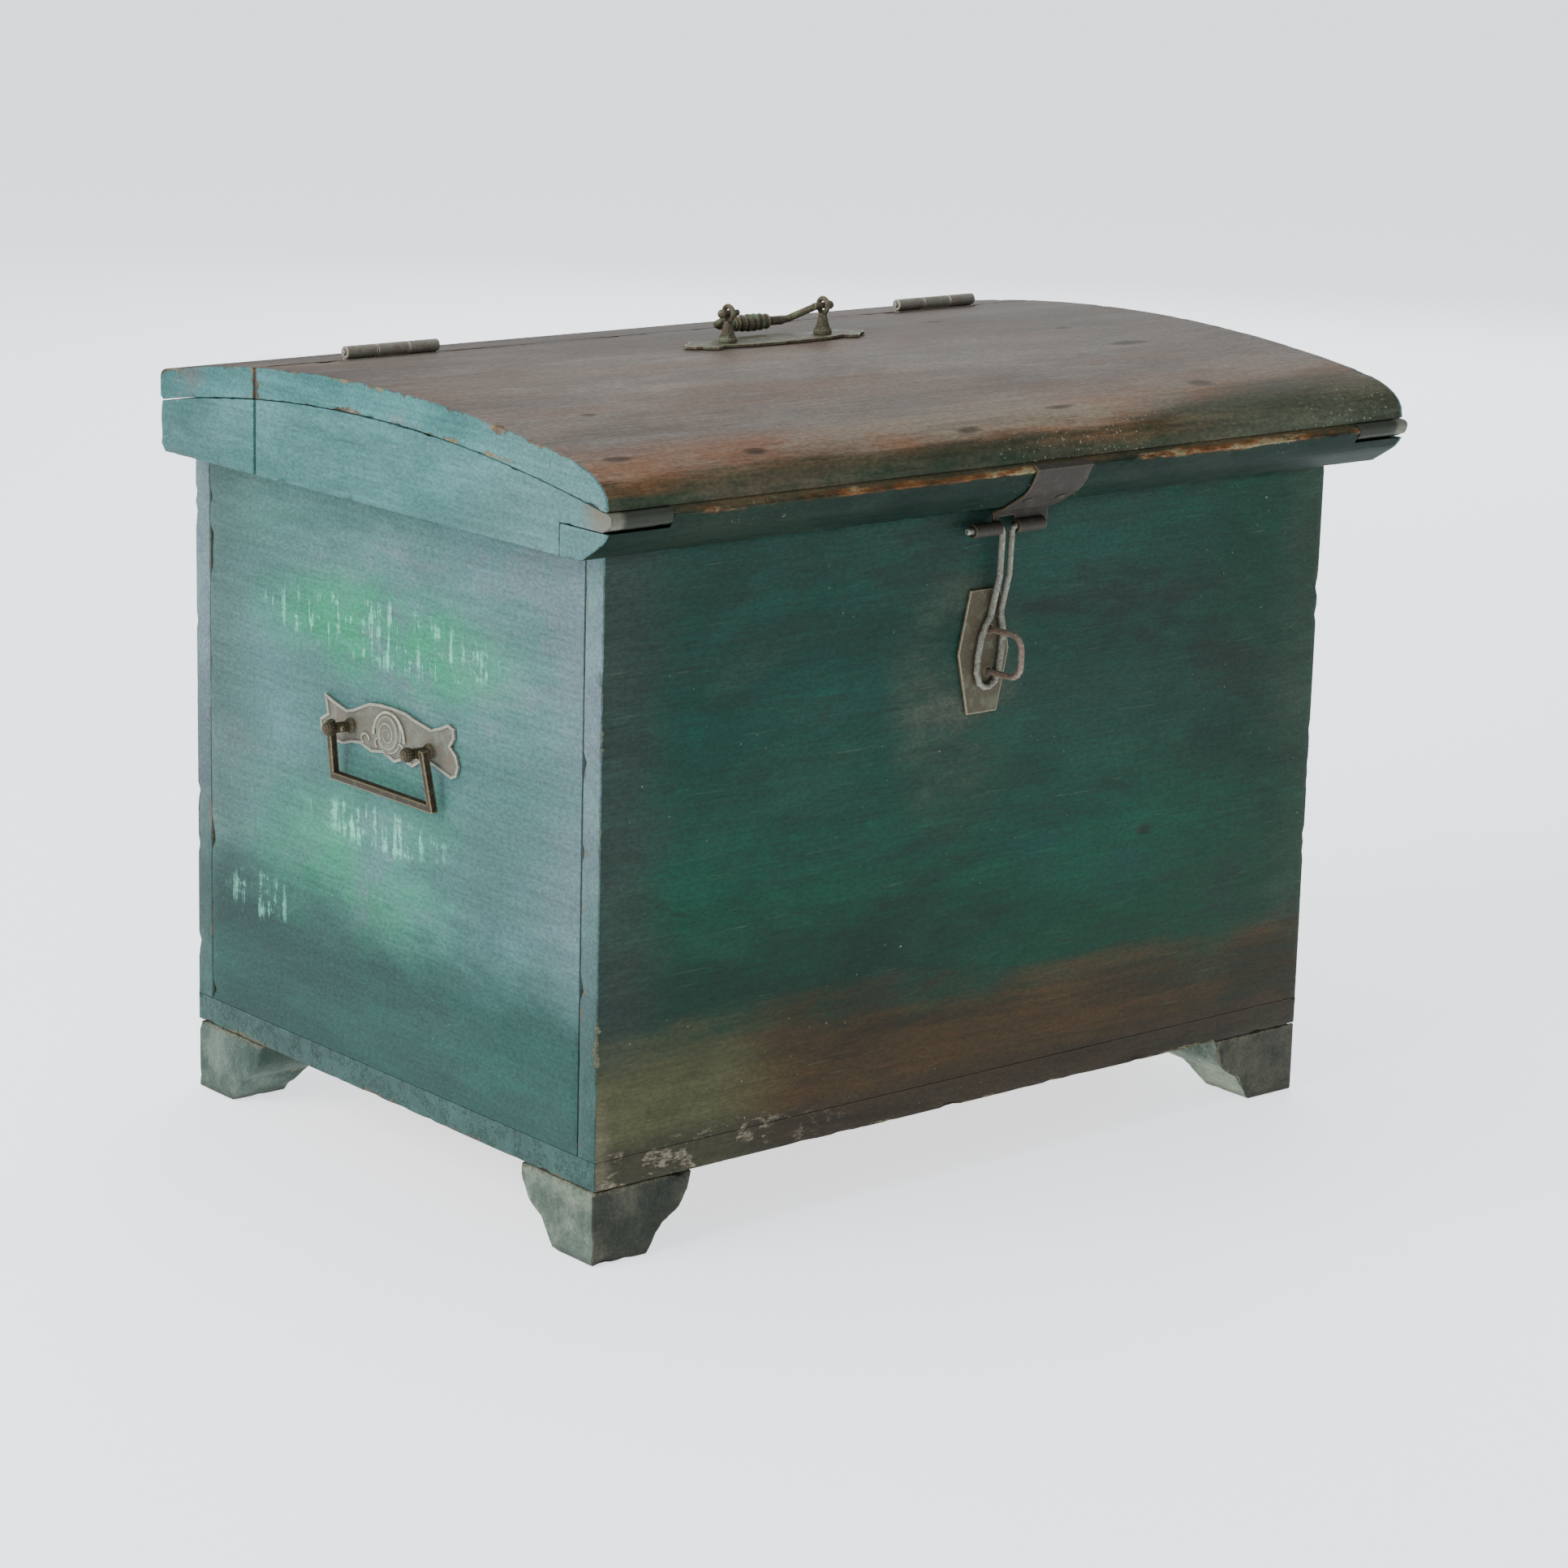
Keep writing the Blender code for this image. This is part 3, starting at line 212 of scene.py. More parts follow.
# %% A finish: one material and the nodes that feed it
class Finish:
    def __init__(self, name):
        self.material = bpy.data.materials.new(name)
        self.material.use_nodes = True
        self.tree = self.material.node_tree
        self.shader = self.tree.nodes["Principled BSDF"]
        self.place = self.node("ShaderNodeTexCoord", output="Object")
        axes = self.node("ShaderNodeSeparateXYZ", inputs={0: self.place}).socket.node.outputs
        self.x, self.y, self.z = (Value(self, axis) for axis in axes)
        self.edge = self.attribute("edge")

    def node(self, kind, settings=None, inputs=None, output=0):
        """Any node: its settings are set first, then its sockets get values or links."""
        made = self.tree.nodes.new(kind)
        for key, setting in (settings or {}).items():
            if key == "stops":
                ramp = made.color_ramp
                for at, colour in setting[1:-1]:
                    ramp.elements.new(at)
                for element, (at, colour) in zip(ramp.elements, setting):
                    element.position, element.color = at, colour
            else:
                setattr(made, key, setting)
        for key, given in (inputs or {}).items():
            if isinstance(given, Value):
                self.tree.links.new(given.socket, made.inputs[key])
            else:
                made.inputs[key].default_value = given
        return Value(self, made.outputs[output])

    def math(self, operation, *values):
        return self.node("ShaderNodeMath", {"operation": operation}, dict(enumerate(values)))

    def attribute(self, name):
        """A number that the mesh carries at each point."""
        return self.node("ShaderNodeAttribute", {"attribute_name": name}, output="Fac")

    def ramp(self, mask, *stops):
        """A run of colours along a mask."""
        stops = [(at, paint(look)) for at, look in stops]
        return self.node("ShaderNodeValToRGB", {"stops": stops}, {0: mask})

    def noise(self, scale, stretch=(1, 1, 1), detail=4.0, roughness=0.55, shift=(0, 0, 0), distortion=0.0):
        """Cloudy values round 0.5. Stretch below 1 along an axis draws the clouds out along it."""
        moved = self.node(
            "ShaderNodeMapping", inputs={"Vector": self.place, "Scale": stretch, "Location": shift}
        )
        look = {"Scale": scale, "Detail": detail, "Roughness": roughness, "Distortion": distortion}
        return self.node("ShaderNodeTexNoise", inputs={"Vector": moved, **look})

    def between(self, value, low, high):
        """0 at low and 1 at high, eased; low may be above high to turn it round."""
        return self.node(
            "ShaderNodeMapRange", {"interpolation_type": "SMOOTHSTEP"},
            {"Value": value, "From Min": low, "From Max": high},
        )

    def mix(self, share, first, second, blend="MIX"):
        """Two colours, each a value or three numbers as it looks in this room."""
        first, second = (c if isinstance(c, Value) else paint(c) for c in (first, second))
        return self.node(
            "ShaderNodeMix", {"data_type": "RGBA", "blend_type": blend, "clamp_result": False},
            {0: share, 6: first, 7: second}, output=2,
        )

    def tones(self, mask, first, second, low=0.40, high=0.60):
        """Two colours in patches: the first where the mask is low, the second where it is high."""
        return self.mix(self.between(mask, low, high), first, second)

    def coat(self, colour, over, mask, share=1):
        """The colour under a coat of another where the mask is 1, hidden by this share at most."""
        return self.mix(mask if share == 1 else mask * share, colour, over)

    def shaded(self, colour, mask, low=0.72, high=1.3):
        """The colour made darker and lighter by a mask."""
        return self.mix(1.0, colour, mask * (high - low) + low, "MULTIPLY")

    def patch(self, across, up, spot, wobble):
        """1 inside an oval, 0 well outside. A spot is middle and reach across, then middle and reach up."""
        middle_across, reach_across, middle_up, reach_up = spot
        a, b = (across - middle_across) / reach_across, (up - middle_up) / reach_up
        return self.between(ragged(a * a + b * b, wobble, 2.4), 1.7, 0.1)

    def finish(self, colour, roughness, height, depth, metallic=0.0, gloss=0.14):
        """Feeds the shader. Height is bump, and depth is how many metres of it a mask of 1 stands for."""
        self.shader.inputs["Specular IOR Level"].default_value = gloss
        for name, given in (("Base Color", colour), ("Roughness", roughness), ("Metallic", metallic)):
            if isinstance(given, Value):
                self.tree.links.new(given.socket, self.shader.inputs[name])
            else:
                self.shader.inputs[name].default_value = given
        bump = self.node(
            "ShaderNodeBump", inputs={"Height": height, "Distance": depth, "Strength": 1.0}, output="Normal"
        )
        self.tree.links.new(bump.socket, self.shader.inputs["Normal"])
        print(self.material.name, "has", len(self.tree.nodes), "nodes")
        return self.material


# %% [markdown]
# ## Wood grain and worn edges
# The grain lies along each board, so every mask is drawn out along it, and the paint has gone first along the
# corners. The corners come from an "edge" attribute that the boards' meshes carry.

# %% Grain, streaks and rubbed edges
BARE_DARK, BARE_LIGHT = (112, 98, 78), (142, 128, 106)


def drawn_out(along, share):
    """A stretch that draws a pattern out along one axis."""
    return tuple(share if axis == along else 1 for axis in "xyz")


def streaks(f, along, scale=330, detail=5.0, shift=0.0):
    """Fine lines along the grain."""
    return f.noise(scale, drawn_out(along, 0.035), detail, 0.62, (shift, shift, shift))


def dust(f, along, scale):
    """Grit too small to see one by one."""
    return f.noise(scale, drawn_out(along, 0.5), 3.0, 0.7, (6, 2, 4))


def rubbed(f, reach, along):
    """Where paint is gone from the corners, in ragged stretches: reach is about the share lost."""
    coarse = f.noise(26, drawn_out(along, 0.35), 6.0, 0.7, (4, 4, 4))
    fine = f.noise(300, drawn_out(along, 0.35), 4.0, 0.7)
    return f.between(ragged(ragged(f.edge, coarse, 2.6), fine, 0.7), 1.18 - reach, 1.26 - reach)


def specks(f, scale, cut, shift=0.0, where=0.5):
    """Small scattered flecks of uneven size, gathered in a few places."""
    fleck = f.noise(scale, (1, 1, 1), 2.0, 0.6, (shift, shift, shift))
    crowd = f.between(f.noise(9, (1, 1, 1), 3.0, 0.5, (shift, 9, 9)), where, where + 0.10)
    return f.between(fleck, cut, cut + 0.03) * crowd


def aged(f, colour, fine, grit, cloud, murk, depth=1.0):
    """Brush streaks, fine grit and broad clouds over any paint, so that no part of it is even."""
    layers = (  # mask, half its usual spread, and how much it darkens or lightens
        (fine, 0.22, 0.14), (grit, 0.20, 0.22), (cloud, 0.14, 0.20 * depth), (murk, 0.12, 0.18 * depth),
    )
    for mask, spread, swing in layers:
        colour = f.shaded(colour, f.between(mask, 0.5 - spread, 0.5 + spread), 1 - swing, 1 + swing)
    return colour


def joint_line(f, colour, dark, share):
    """A dark hairline in the narrow joints: the very corner of a board, in shade."""
    return f.coat(colour, dark, f.between(f.edge, 0.90, 0.985), share)


def never_painted(f, fine, broad):
    """Bare boards, inside the chest and under its lid."""
    return f.shaded(f.mix(fine, BARE_DARK, BARE_LIGHT), broad, 0.7, 1.15)


print("grain helpers ready")

# %% [markdown]
# ## Dark green front
# The front is a deep green that turns teal across its middle. The green is partly its own, and partly painted
# shade that makes it darker than the sides. Its lowest quarter has worn to brown, olive at the left, and a
# grey haze surrounds the staple where hands have been. The base board is painted alike. The ends of the front
# and back boards show as narrow strips of the sides' paler paint.

# %% Front, back and base boards
TEAL_STARTS, TEAL_STOPS = (0.17, 0.25), (0.42, 0.32)  # heights, going up
DARK_FOOT, PAINTED_SHADE_RIGHT = (0.24, 0.15), (0.06, 0.26)  # height, and place across
LEFT_SOILED, RIGHT_SOILED = (-0.235, -0.285), (0.250, 0.295)
UMBER_TOP, OLIVE_FROM, SCUFFED_FOOT = (0.140, 0.108), (-0.15, -0.22), (0.0740, 0.067)
STAPLE_HAZE, FRONT_KNOT = (-0.022, 0.052, 0.312, 0.075), (0.147, 0.008, 0.206, 0.005)
SWIPE, SWIPE_SLOPE = (-0.185, 0.034, 0.430, 0.012), 0.4
PAINTED_DEPTH, INSIDE_DEPTH = 0.010, 0.0105  # from the outer face of a wall inwards


def green_front():
    f = Finish("dark green paint")
    fine, broad = streaks(f, "x"), f.noise(4.2, (0.45, 1, 1.5), 8.0, 0.66)
    cloud = f.noise(11, (0.30, 1, 1), 10.0, 0.74, (3, 1, 2), 0.4)
    grit, murk = dust(f, "x", 520), f.noise(7, (0.5, 1, 1.2), 9.0, 0.74, (1, 7, 3))
    ahead = f.between(f.y, FRONT_Y + 0.012, FRONT_Y + 0.011)  # the front board only

    # Greens, with the teal band and bluer stains in it; the greens are darker than the sides partly in their
    # own colour and partly as painted shade
    colour = f.tones(broad, (34, 62, 54), (22, 72, 60))
    teal = f.between(f.z + cloud * 0.16, *TEAL_STARTS) * f.between(f.z + cloud * 0.20, *TEAL_STOPS)
    colour = f.coat(colour, (8, 72, 56), teal * f.between(cloud, 0.40, 0.56))
    blue = f.between(f.noise(9, (0.35, 1, 1.3), 9.0, 0.72, (5, 3, 8)), 0.54, 0.64)
    colour = f.coat(colour, (14, 68, 66), blue * teal, 0.5)
    colour = f.coat(colour, (20, 52, 36), f.between(ragged(f.z, cloud, 0.1), *DARK_FOOT), 0.7)
    # Painted shade: the front is made darker towards its right end
    colour = f.coat(colour, (26, 56, 42), f.between(ragged(f.x, broad, 0.4), *PAINTED_SHADE_RIGHT), 0.65)

    # Stains, washed places, the haze round the staple and a pale swipe near the top left
    colour = f.coat(colour, (32, 44, 38), f.between(murk, 0.51, 0.62), 0.8)
    colour = f.coat(colour, (46, 86, 70), f.between(murk, 0.46, 0.36), 0.45)
    haze = f.patch(f.x, f.z, STAPLE_HAZE, cloud) * f.between(murk, 0.34, 0.60)
    haze = haze * f.between(cloud, 0.30, 0.56) * ahead
    colour = f.coat(colour, (90, 92, 80), haze, 0.80)
    swipe = f.patch(f.x, f.z - f.x * SWIPE_SLOPE, SWIPE, murk) * f.between(broad, 0.40, 0.60) * ahead
    colour = f.coat(colour, (96, 122, 110), swipe, 0.22)
    colour = f.coat(colour, (54, 62, 58), f.between(ragged(f.x, murk, 0.12), *LEFT_SOILED), 0.7)
    colour = f.coat(colour, (58, 72, 60), f.between(ragged(f.x, murk, 0.12), *RIGHT_SOILED), 0.5)

    # The worn foot: umber, rust and green in it, olive at the left, darkest right at the bottom
    tone = f.noise(12, (0.16, 1, 1.3), 9.0, 0.75, (2, 2, 9))
    umber = f.tones(tone, (52, 46, 32), (76, 60, 40), 0.42, 0.58)
    umber = f.coat(umber, (96, 68, 48), f.between(tone, 0.60, 0.68), 0.6)
    umber = f.coat(umber, (40, 50, 40), f.between(tone, 0.45, 0.36), 0.6)
    olive = f.mix(tone, (62, 68, 44), (94, 92, 70))
    umber = f.coat(umber, olive, f.between(ragged(f.x, broad, 0.20), *OLIVE_FROM))
    umber = f.coat(umber, (50, 46, 40), f.between(ragged(f.z, cloud, 0.03), 0.080, 0.066), 0.6)
    low = ragged(ragged(f.z, cloud, 0.085), f.noise(38, (0.10, 1, 1), 8.0, 0.75), 0.060)
    colour = f.coat(colour, umber, f.between(low, *UMBER_TOP), 0.95)
    left_foot = f.between(ragged(f.z, murk, 0.06), 0.125, 0.07) * f.between(f.x, -0.285, -0.297)
    colour = f.coat(colour, (120, 116, 98), left_foot, 0.7)

    # Age, dark and pale streaks, rubbed corners, chips along the foot, flecks and a knot
    colour = aged(f, colour, fine, grit, cloud, murk)
    colour = f.coat(colour, (26, 34, 28), f.between(streaks(f, "x", 620, 4.0, 4), 0.60, 0.72), 0.45)
    colour = f.coat(colour, (104, 122, 100), f.between(streaks(f, "x", 560, 4.0, 9), 0.65, 0.74), 0.30)
    worn = rubbed(f, 0.16, "x")
    colour = f.coat(colour, f.tones(grit, (84, 82, 66), (138, 134, 112)), worn, 0.75)
    foot = f.between(ragged(f.z, f.noise(45, (0.3, 1, 1), 6.0, 0.7), 0.024), *SCUFFED_FOOT)
    chips = foot * f.between(f.noise(110, (0.5, 1, 1), 6.0, 0.75), 0.52, 0.58)
    chips = chips * f.between(f.x + cloud * 0.1, -0.02, -0.16)
    colour = f.coat(colour, f.tones(grit, (104, 98, 84), (160, 154, 136)), chips, 0.75)
    flecks = specks(f, 300, 0.735)
    colour = f.coat(colour, (170, 184, 164), flecks, 0.8)
    knot = f.patch(f.x, f.z, FRONT_KNOT, cloud)
    colour = f.coat(colour, (30, 34, 26), knot, 0.7)

    # Bare inside, and side paint on the ends of the boards
    inside = f.between(f.y, FRONT_Y + PAINTED_DEPTH, FRONT_Y + INSIDE_DEPTH)
    inside = inside * f.between(f.y, BACK_Y - PAINTED_DEPTH, BACK_Y - INSIDE_DEPTH)
    colour = f.coat(colour, never_painted(f, fine, broad), inside)
    end = f.between(abs(f.x), WALL_X - 0.0016, WALL_X - 0.0006)
    side = f.tones(cloud, (124, 138, 146), (104, 126, 126))
    side = aged(f, f.mix(f.between(f.z, 0.32, 0.10), side, (64, 88, 84)), fine, grit, cloud, murk)
    colour = joint_line(f, f.coat(colour, side, end * (1 - worn * 0.6)), (30, 36, 34), end * 0.6)
    height = fine * 0.35 + grit * 0.2 + cloud * 0.35 - worn * 0.4 - chips * 0.6 + flecks * 0.15 - knot * 0.4
    return f.finish(colour, 0.46 + fine * 0.18 + worn * 0.2 + haze * 0.1, height, 0.0006)


dark_green = green_front()

# %% [markdown]
# ## Faded teal ends
# The ends are paler than the front, partly in their own paint and partly because the front's green carries
# painted shade. The teal has greyed, greener patches remain where something was once painted and rubbed away,
# and pale upright scuffs cross them. The scuffs come from stretched noise and spell nothing.

# %% Side boards
# Spots along y and z
GREEN_SPOTS = (0.030, 0.135, 0.345, 0.036), (0.060, 0.110, 0.180, 0.060), (0.020, 0.080, 0.225, 0.050)
SCUFF_ROWS = (0.030, 0.135, 0.347, 0.021), (0.040, 0.085, 0.222, 0.015), (0.163, 0.040, 0.150, 0.018)
CRACK_Y, GREY_FOOT = 0.2250, (0.205, 0.120)


def teal_side():
    f = Finish("faded teal paint")
    fine, broad = streaks(f, "y"), f.noise(5, (1, 0.4, 1.4), 8.0, 0.66)
    cloud = f.noise(13, (1, 0.35, 1), 10.0, 0.74, (2, 5, 1), 0.4)
    grit, murk = dust(f, "y", 520), f.noise(8, (1, 0.5, 1.2), 9.0, 0.74, (1, 7, 3))
    tatter = f.noise(15, (1, 0.6, 1), 9.0, 0.78, (3, 1, 1))

    # Teal, greyer in stains, paler to the front, and with painted shade that darkens it to the back
    colour = f.tones(broad, (84, 120, 114), (98, 130, 130))
    colour = f.coat(colour, (112, 120, 126), f.between(murk, 0.51, 0.62), 0.6)
    colour = f.coat(colour, (124, 140, 146), f.between(ragged(f.y, murk, 0.20), -0.11, -0.20), 0.6)
    colour = f.coat(colour, (80, 102, 98), f.between(ragged(f.y, murk, 0.10), 0.14, 0.22), 0.8)

    # The greener patches, and the darker foot
    upper, lower, middle = (f.patch(f.y, f.z, spot, tatter) for spot in GREEN_SPOTS)
    green = f.math("MAXIMUM", upper, f.math("MAXIMUM", lower * 0.65, middle * 0.35))
    green = green * f.between(tatter, 0.38, 0.58)
    colour = f.coat(colour, (64, 144, 108), green, 0.9)
    grey = f.between(ragged(ragged(f.z, murk, 0.12), cloud, 0.04), *GREY_FOOT)
    colour = f.coat(colour, f.tones(broad, (44, 70, 66), (42, 80, 72)), grey, 0.9)

    # Pale upright scuffs in three rows, fainter on the right end
    stroke = f.noise(120, (1, 1, 0.10), 5.0, 0.7, (1, 4, 0)) * 0.65
    stroke = stroke + f.noise(60, (1, 1, 1.6), 5.0, 0.75) * 0.35
    first, second, third = (f.patch(f.y, f.z, row, tatter) for row in SCUFF_ROWS)
    rows = first + second * 0.8 + third * 0.7
    left = f.between(f.x, 0.01, -0.01) * 0.8 + 0.2
    scuffs = f.between(stroke, 0.52, 0.57) * f.between(rows, 0.2, 0.8) * left
    colour = f.coat(colour, (146, 214, 190), scuffs, 0.75)

    # Age, dark streaks, a crack near the back, rubbed corners and flecks
    colour = aged(f, colour, fine, grit, cloud, murk, 0.65)
    colour = f.coat(colour, (60, 72, 74), f.between(streaks(f, "y", 520, 4.0, 7), 0.61, 0.72), 0.40)
    crack = f.between(abs(ragged(f.y - CRACK_Y, f.noise(9, (1, 1, 1), 3.0), 0.003)), 0.0007, 0.0002)
    split = crack * f.between(f.noise(40, (1, 1, 0.3), 4.0), 0.42, 0.56)
    colour = f.coat(colour, (40, 52, 50), split, 0.6)
    worn = rubbed(f, 0.02, "y")
    colour = f.coat(colour, (112, 110, 96), worn, 0.7)
    colour = joint_line(f, colour, (34, 46, 46), 0.75)
    flecks = specks(f, 300, 0.73, 5.0)
    colour = f.coat(colour, (180, 206, 190), flecks, 0.7)
    inside = f.between(abs(f.x), WALL_X - PAINTED_DEPTH, WALL_X - INSIDE_DEPTH)
    colour = f.coat(colour, never_painted(f, fine, broad), inside)
    height = fine * 0.35 + grit * 0.2 + cloud * 0.3 - worn * 0.3 + flecks * 0.2 + scuffs * 0.12 - crack * 0.3
    return f.finish(colour, 0.50 + fine * 0.18 + worn * 0.15, height, 0.0005)


faded_teal = teal_side()

# %% Ends of the lid
CHEEK_JOINT = (38, 48, 48)


def cheek_colour(f, fine, grit, cloud, murk):
    """The paler teal that all the end grain of the lid shares, with its pinkish bare places."""
    colour = f.tones(cloud, (88, 126, 124), (104, 142, 142))
    colour = f.coat(colour, (136, 128, 126), f.between(murk, 0.56, 0.64), 0.5)
    pale = f.between(f.noise(60, (1, 0.4, 1), 6.0, 0.75, (7, 7, 1)), 0.62, 0.68)
    colour = f.coat(colour, (150, 176, 174), pale, 0.5)
    colour = f.coat(colour, (132, 158, 158), f.between(ragged(f.y, murk, 0.1), -0.06, -0.20), 0.5)
    # Painted shade: the lid's ends are made darker towards the back
    colour = f.shaded(colour, f.between(ragged(f.y, murk, 0.06), 0.22, 0.10), 0.68, 1.0)
    return aged(f, colour, fine, grit, cloud, murk, 0.5)


def lid_end(f, grit, murk):
    """Where a board of the lid shows its end, and that end's colour."""
    colour = cheek_colour(f, streaks(f, "y"), grit, f.noise(12, (1, 0.35, 1), 9.0, 0.74), murk)
    return f.between(abs(f.x), LID_X - 0.0022, LID_X - 0.0010), joint_line(f, colour, CHEEK_JOINT, 0.6)


def teal_cheek():
    f = Finish("pale teal on the lid's ends")
    fine, cloud = streaks(f, "y"), f.noise(12, (1, 0.35, 1), 9.0, 0.74)
    grit, murk = dust(f, "y", 520), f.noise(10, (1, 0.5, 1), 9.0, 0.74, (5, 5, 1))
    colour = cheek_colour(f, fine, grit, cloud, murk)
    colour = f.coat(colour, (62, 82, 82), f.between(streaks(f, "y", 480, 3.0, 3), 0.61, 0.72), 0.45)
    low = f.between(ragged(f.z, murk, 0.02), RIM + 0.010, RIM + 0.002)
    colour = f.coat(colour, (78, 96, 94), low * f.between(cloud, 0.44, 0.58), 0.6)
    tip = f.between(ragged(f.y, murk, 0.04), NOSE_Y + 0.030, NOSE_Y + 0.008)
    colour = f.coat(colour, (126, 114, 98), tip, 0.7)
    colour = joint_line(f, colour, CHEEK_JOINT, 0.8)
    worn = rubbed(f, 0.10, "y")
    colour = f.coat(colour, f.tones(grit, (124, 104, 84), (172, 168, 152)), worn, 0.8)

    # The tongue's dark front, and bare wood inside
    within = f.between(abs(f.x), LID_X - 0.006, LID_X - 0.012)
    front = f.between(f.y, NOSE_Y + 0.020, NOSE_Y + 0.012)
    colour = f.coat(colour, f.shaded((58, 62, 54), fine), within * front)
    bare = within * (1 - front) * f.between(f.y, BACK_Y - 0.012, BACK_Y - 0.013)
    colour = f.coat(colour, f.shaded((120, 106, 84), fine), bare)
    height = fine * 0.4 + grit * 0.2 + cloud * 0.3 - worn * 0.4
    return f.finish(colour, 0.5 + fine * 0.2, height, 0.0005)


cheek_teal = teal_cheek()

# %% [markdown]
# ## The lid's top
# The lid has lost nearly all its paint: grey-brown wood, a redder band where it starts to turn down, and
# green again on the nose with pale flecks. Knots and dents are small dark ovals. Height tells the nose from
# the top, and a "below" attribute tells the board's bare underside.

# %% Top boards
RED_BAND, BROWN_BAND, GREEN_BAND = (0.4970, 0.4890), (0.4850, 0.4790), (0.4790, 0.4710)  # heights, going down
GREY_BAND, FLECK_BAND, LIP_RUBBED = (0.4950, 0.4860), (0.4880, 0.4800), (0.4800, 0.4835)
DENTS = (  # spots on the top, along x and y
    (-0.300, 0.010, -0.205, 0.0035), (-0.205, 0.008, -0.213, 0.0035), (0.218, 0.007, -0.024, 0.004),
    (0.222, 0.017, -0.084, 0.006), (0.162, 0.008, 0.044, 0.004), (0.188, 0.010, -0.185, 0.006),
    (-0.260, 0.006, -0.125, 0.003), (0.05, 0.012, -0.20, 0.003), (-0.04, 0.010, -0.216, 0.003),
)


def worn_top():
    f = Finish("worn top of the lid")
    fine, broad = streaks(f, "x", 300), f.noise(5, (0.35, 1, 1), 8.0, 0.66)
    cloud = f.noise(14, (0.20, 1, 1), 10.0, 0.74, (5, 2, 1), 0.3)
    grit, murk = dust(f, "x", 480), f.noise(8, (0.4, 1, 1), 9.0, 0.74, (2, 6, 8))

    # Grey-brown wood, with painted shade that darkens it to the back and the right
    colour = f.tones(broad, (112, 102, 95), (136, 130, 124), 0.38, 0.62)
    colour = f.coat(colour, (104, 86, 74), f.between(cloud, 0.50, 0.62), 0.55)
    colour = f.coat(colour, (92, 94, 88), f.between(murk, 0.53, 0.63), 0.6)
    colour = f.coat(colour, (146, 142, 136), f.between(murk, 0.45, 0.37), 0.5)
    colour = f.shaded(colour, f.between(ragged(f.y + f.x * 0.45, murk, 0.2), 0.14, -0.08), 0.54, 1.0)

    # Bands where the board turns down to the nose
    drop = ragged(ragged(f.z, cloud, 0.022), f.noise(50, (0.08, 1, 1), 8.0, 0.74), 0.014) - f.x * 0.006
    turning = f.between(f.y, -0.08, -0.15)
    red = f.tones(murk, (146, 112, 90), (134, 124, 110), 0.44, 0.58)
    colour = f.coat(colour, red, f.between(drop, *RED_BAND) * turning, 0.8)
    brown = f.tones(cloud, (72, 76, 62), (112, 88, 68))
    colour = f.coat(colour, brown, f.between(drop, *BROWN_BAND) * turning, 0.85)
    green = f.tones(murk, (54, 74, 62), (86, 82, 70), 0.42, 0.6)
    colour = f.coat(colour, green, f.between(drop, *GREEN_BAND) * turning, 0.85)
    right = f.between(ragged(f.x, murk, 0.3), 0.10, 0.24)
    colour = f.coat(colour, (84, 90, 78), f.between(drop, *GREY_BAND) * turning * right, 0.8)

    # Dents and knots, age, dark streaks, flecks and the rubbed lip
    dents = sum(f.patch(f.x, f.y, dent, cloud) for dent in DENTS)
    colour = f.coat(colour, (48, 42, 34), dents, 0.7)
    colour = aged(f, colour, fine, grit, cloud, murk)
    colour = f.coat(colour, (50, 42, 34), f.between(streaks(f, "x", 560, 4.0, 6), 0.60, 0.72), 0.55)
    flecks = specks(f, 460, 0.645, 2.0, 0.38) * turning * f.between(drop, *FLECK_BAND)
    flecks = flecks * f.between(f.x + cloud * 0.2, 0.00, 0.12)
    colour = f.coat(colour, (176, 180, 164), flecks, 0.8)
    worn = rubbed(f, 0.30, "x") * f.between(f.z, *LIP_RUBBED)
    rim = f.ramp(
        f.noise(38, (0.5, 1, 1), 6.0, 0.7, (8, 8, 8)),
        (0.38, (64, 54, 42)), (0.50, (118, 82, 56)), (0.58, (158, 144, 116)), (0.68, (90, 88, 74)),
    )
    colour = f.coat(colour, rim, worn, 0.8)

    # The board's ends, and its bare underside
    end, side = lid_end(f, grit, murk)
    colour = f.coat(colour, side, end * (1 - worn * 0.8))
    colour = f.coat(colour, never_painted(f, fine, broad), f.between(f.attribute("below"), 0.4, 0.6))
    height = fine * 0.4 + grit * 0.2 + cloud * 0.35 - worn * 0.4 + flecks * 0.15 - dents * 0.7
    return f.finish(colour, 0.52 + fine * 0.22 + worn * 0.15, height, 0.0007, gloss=0.05)


lid_wood = worn_top()


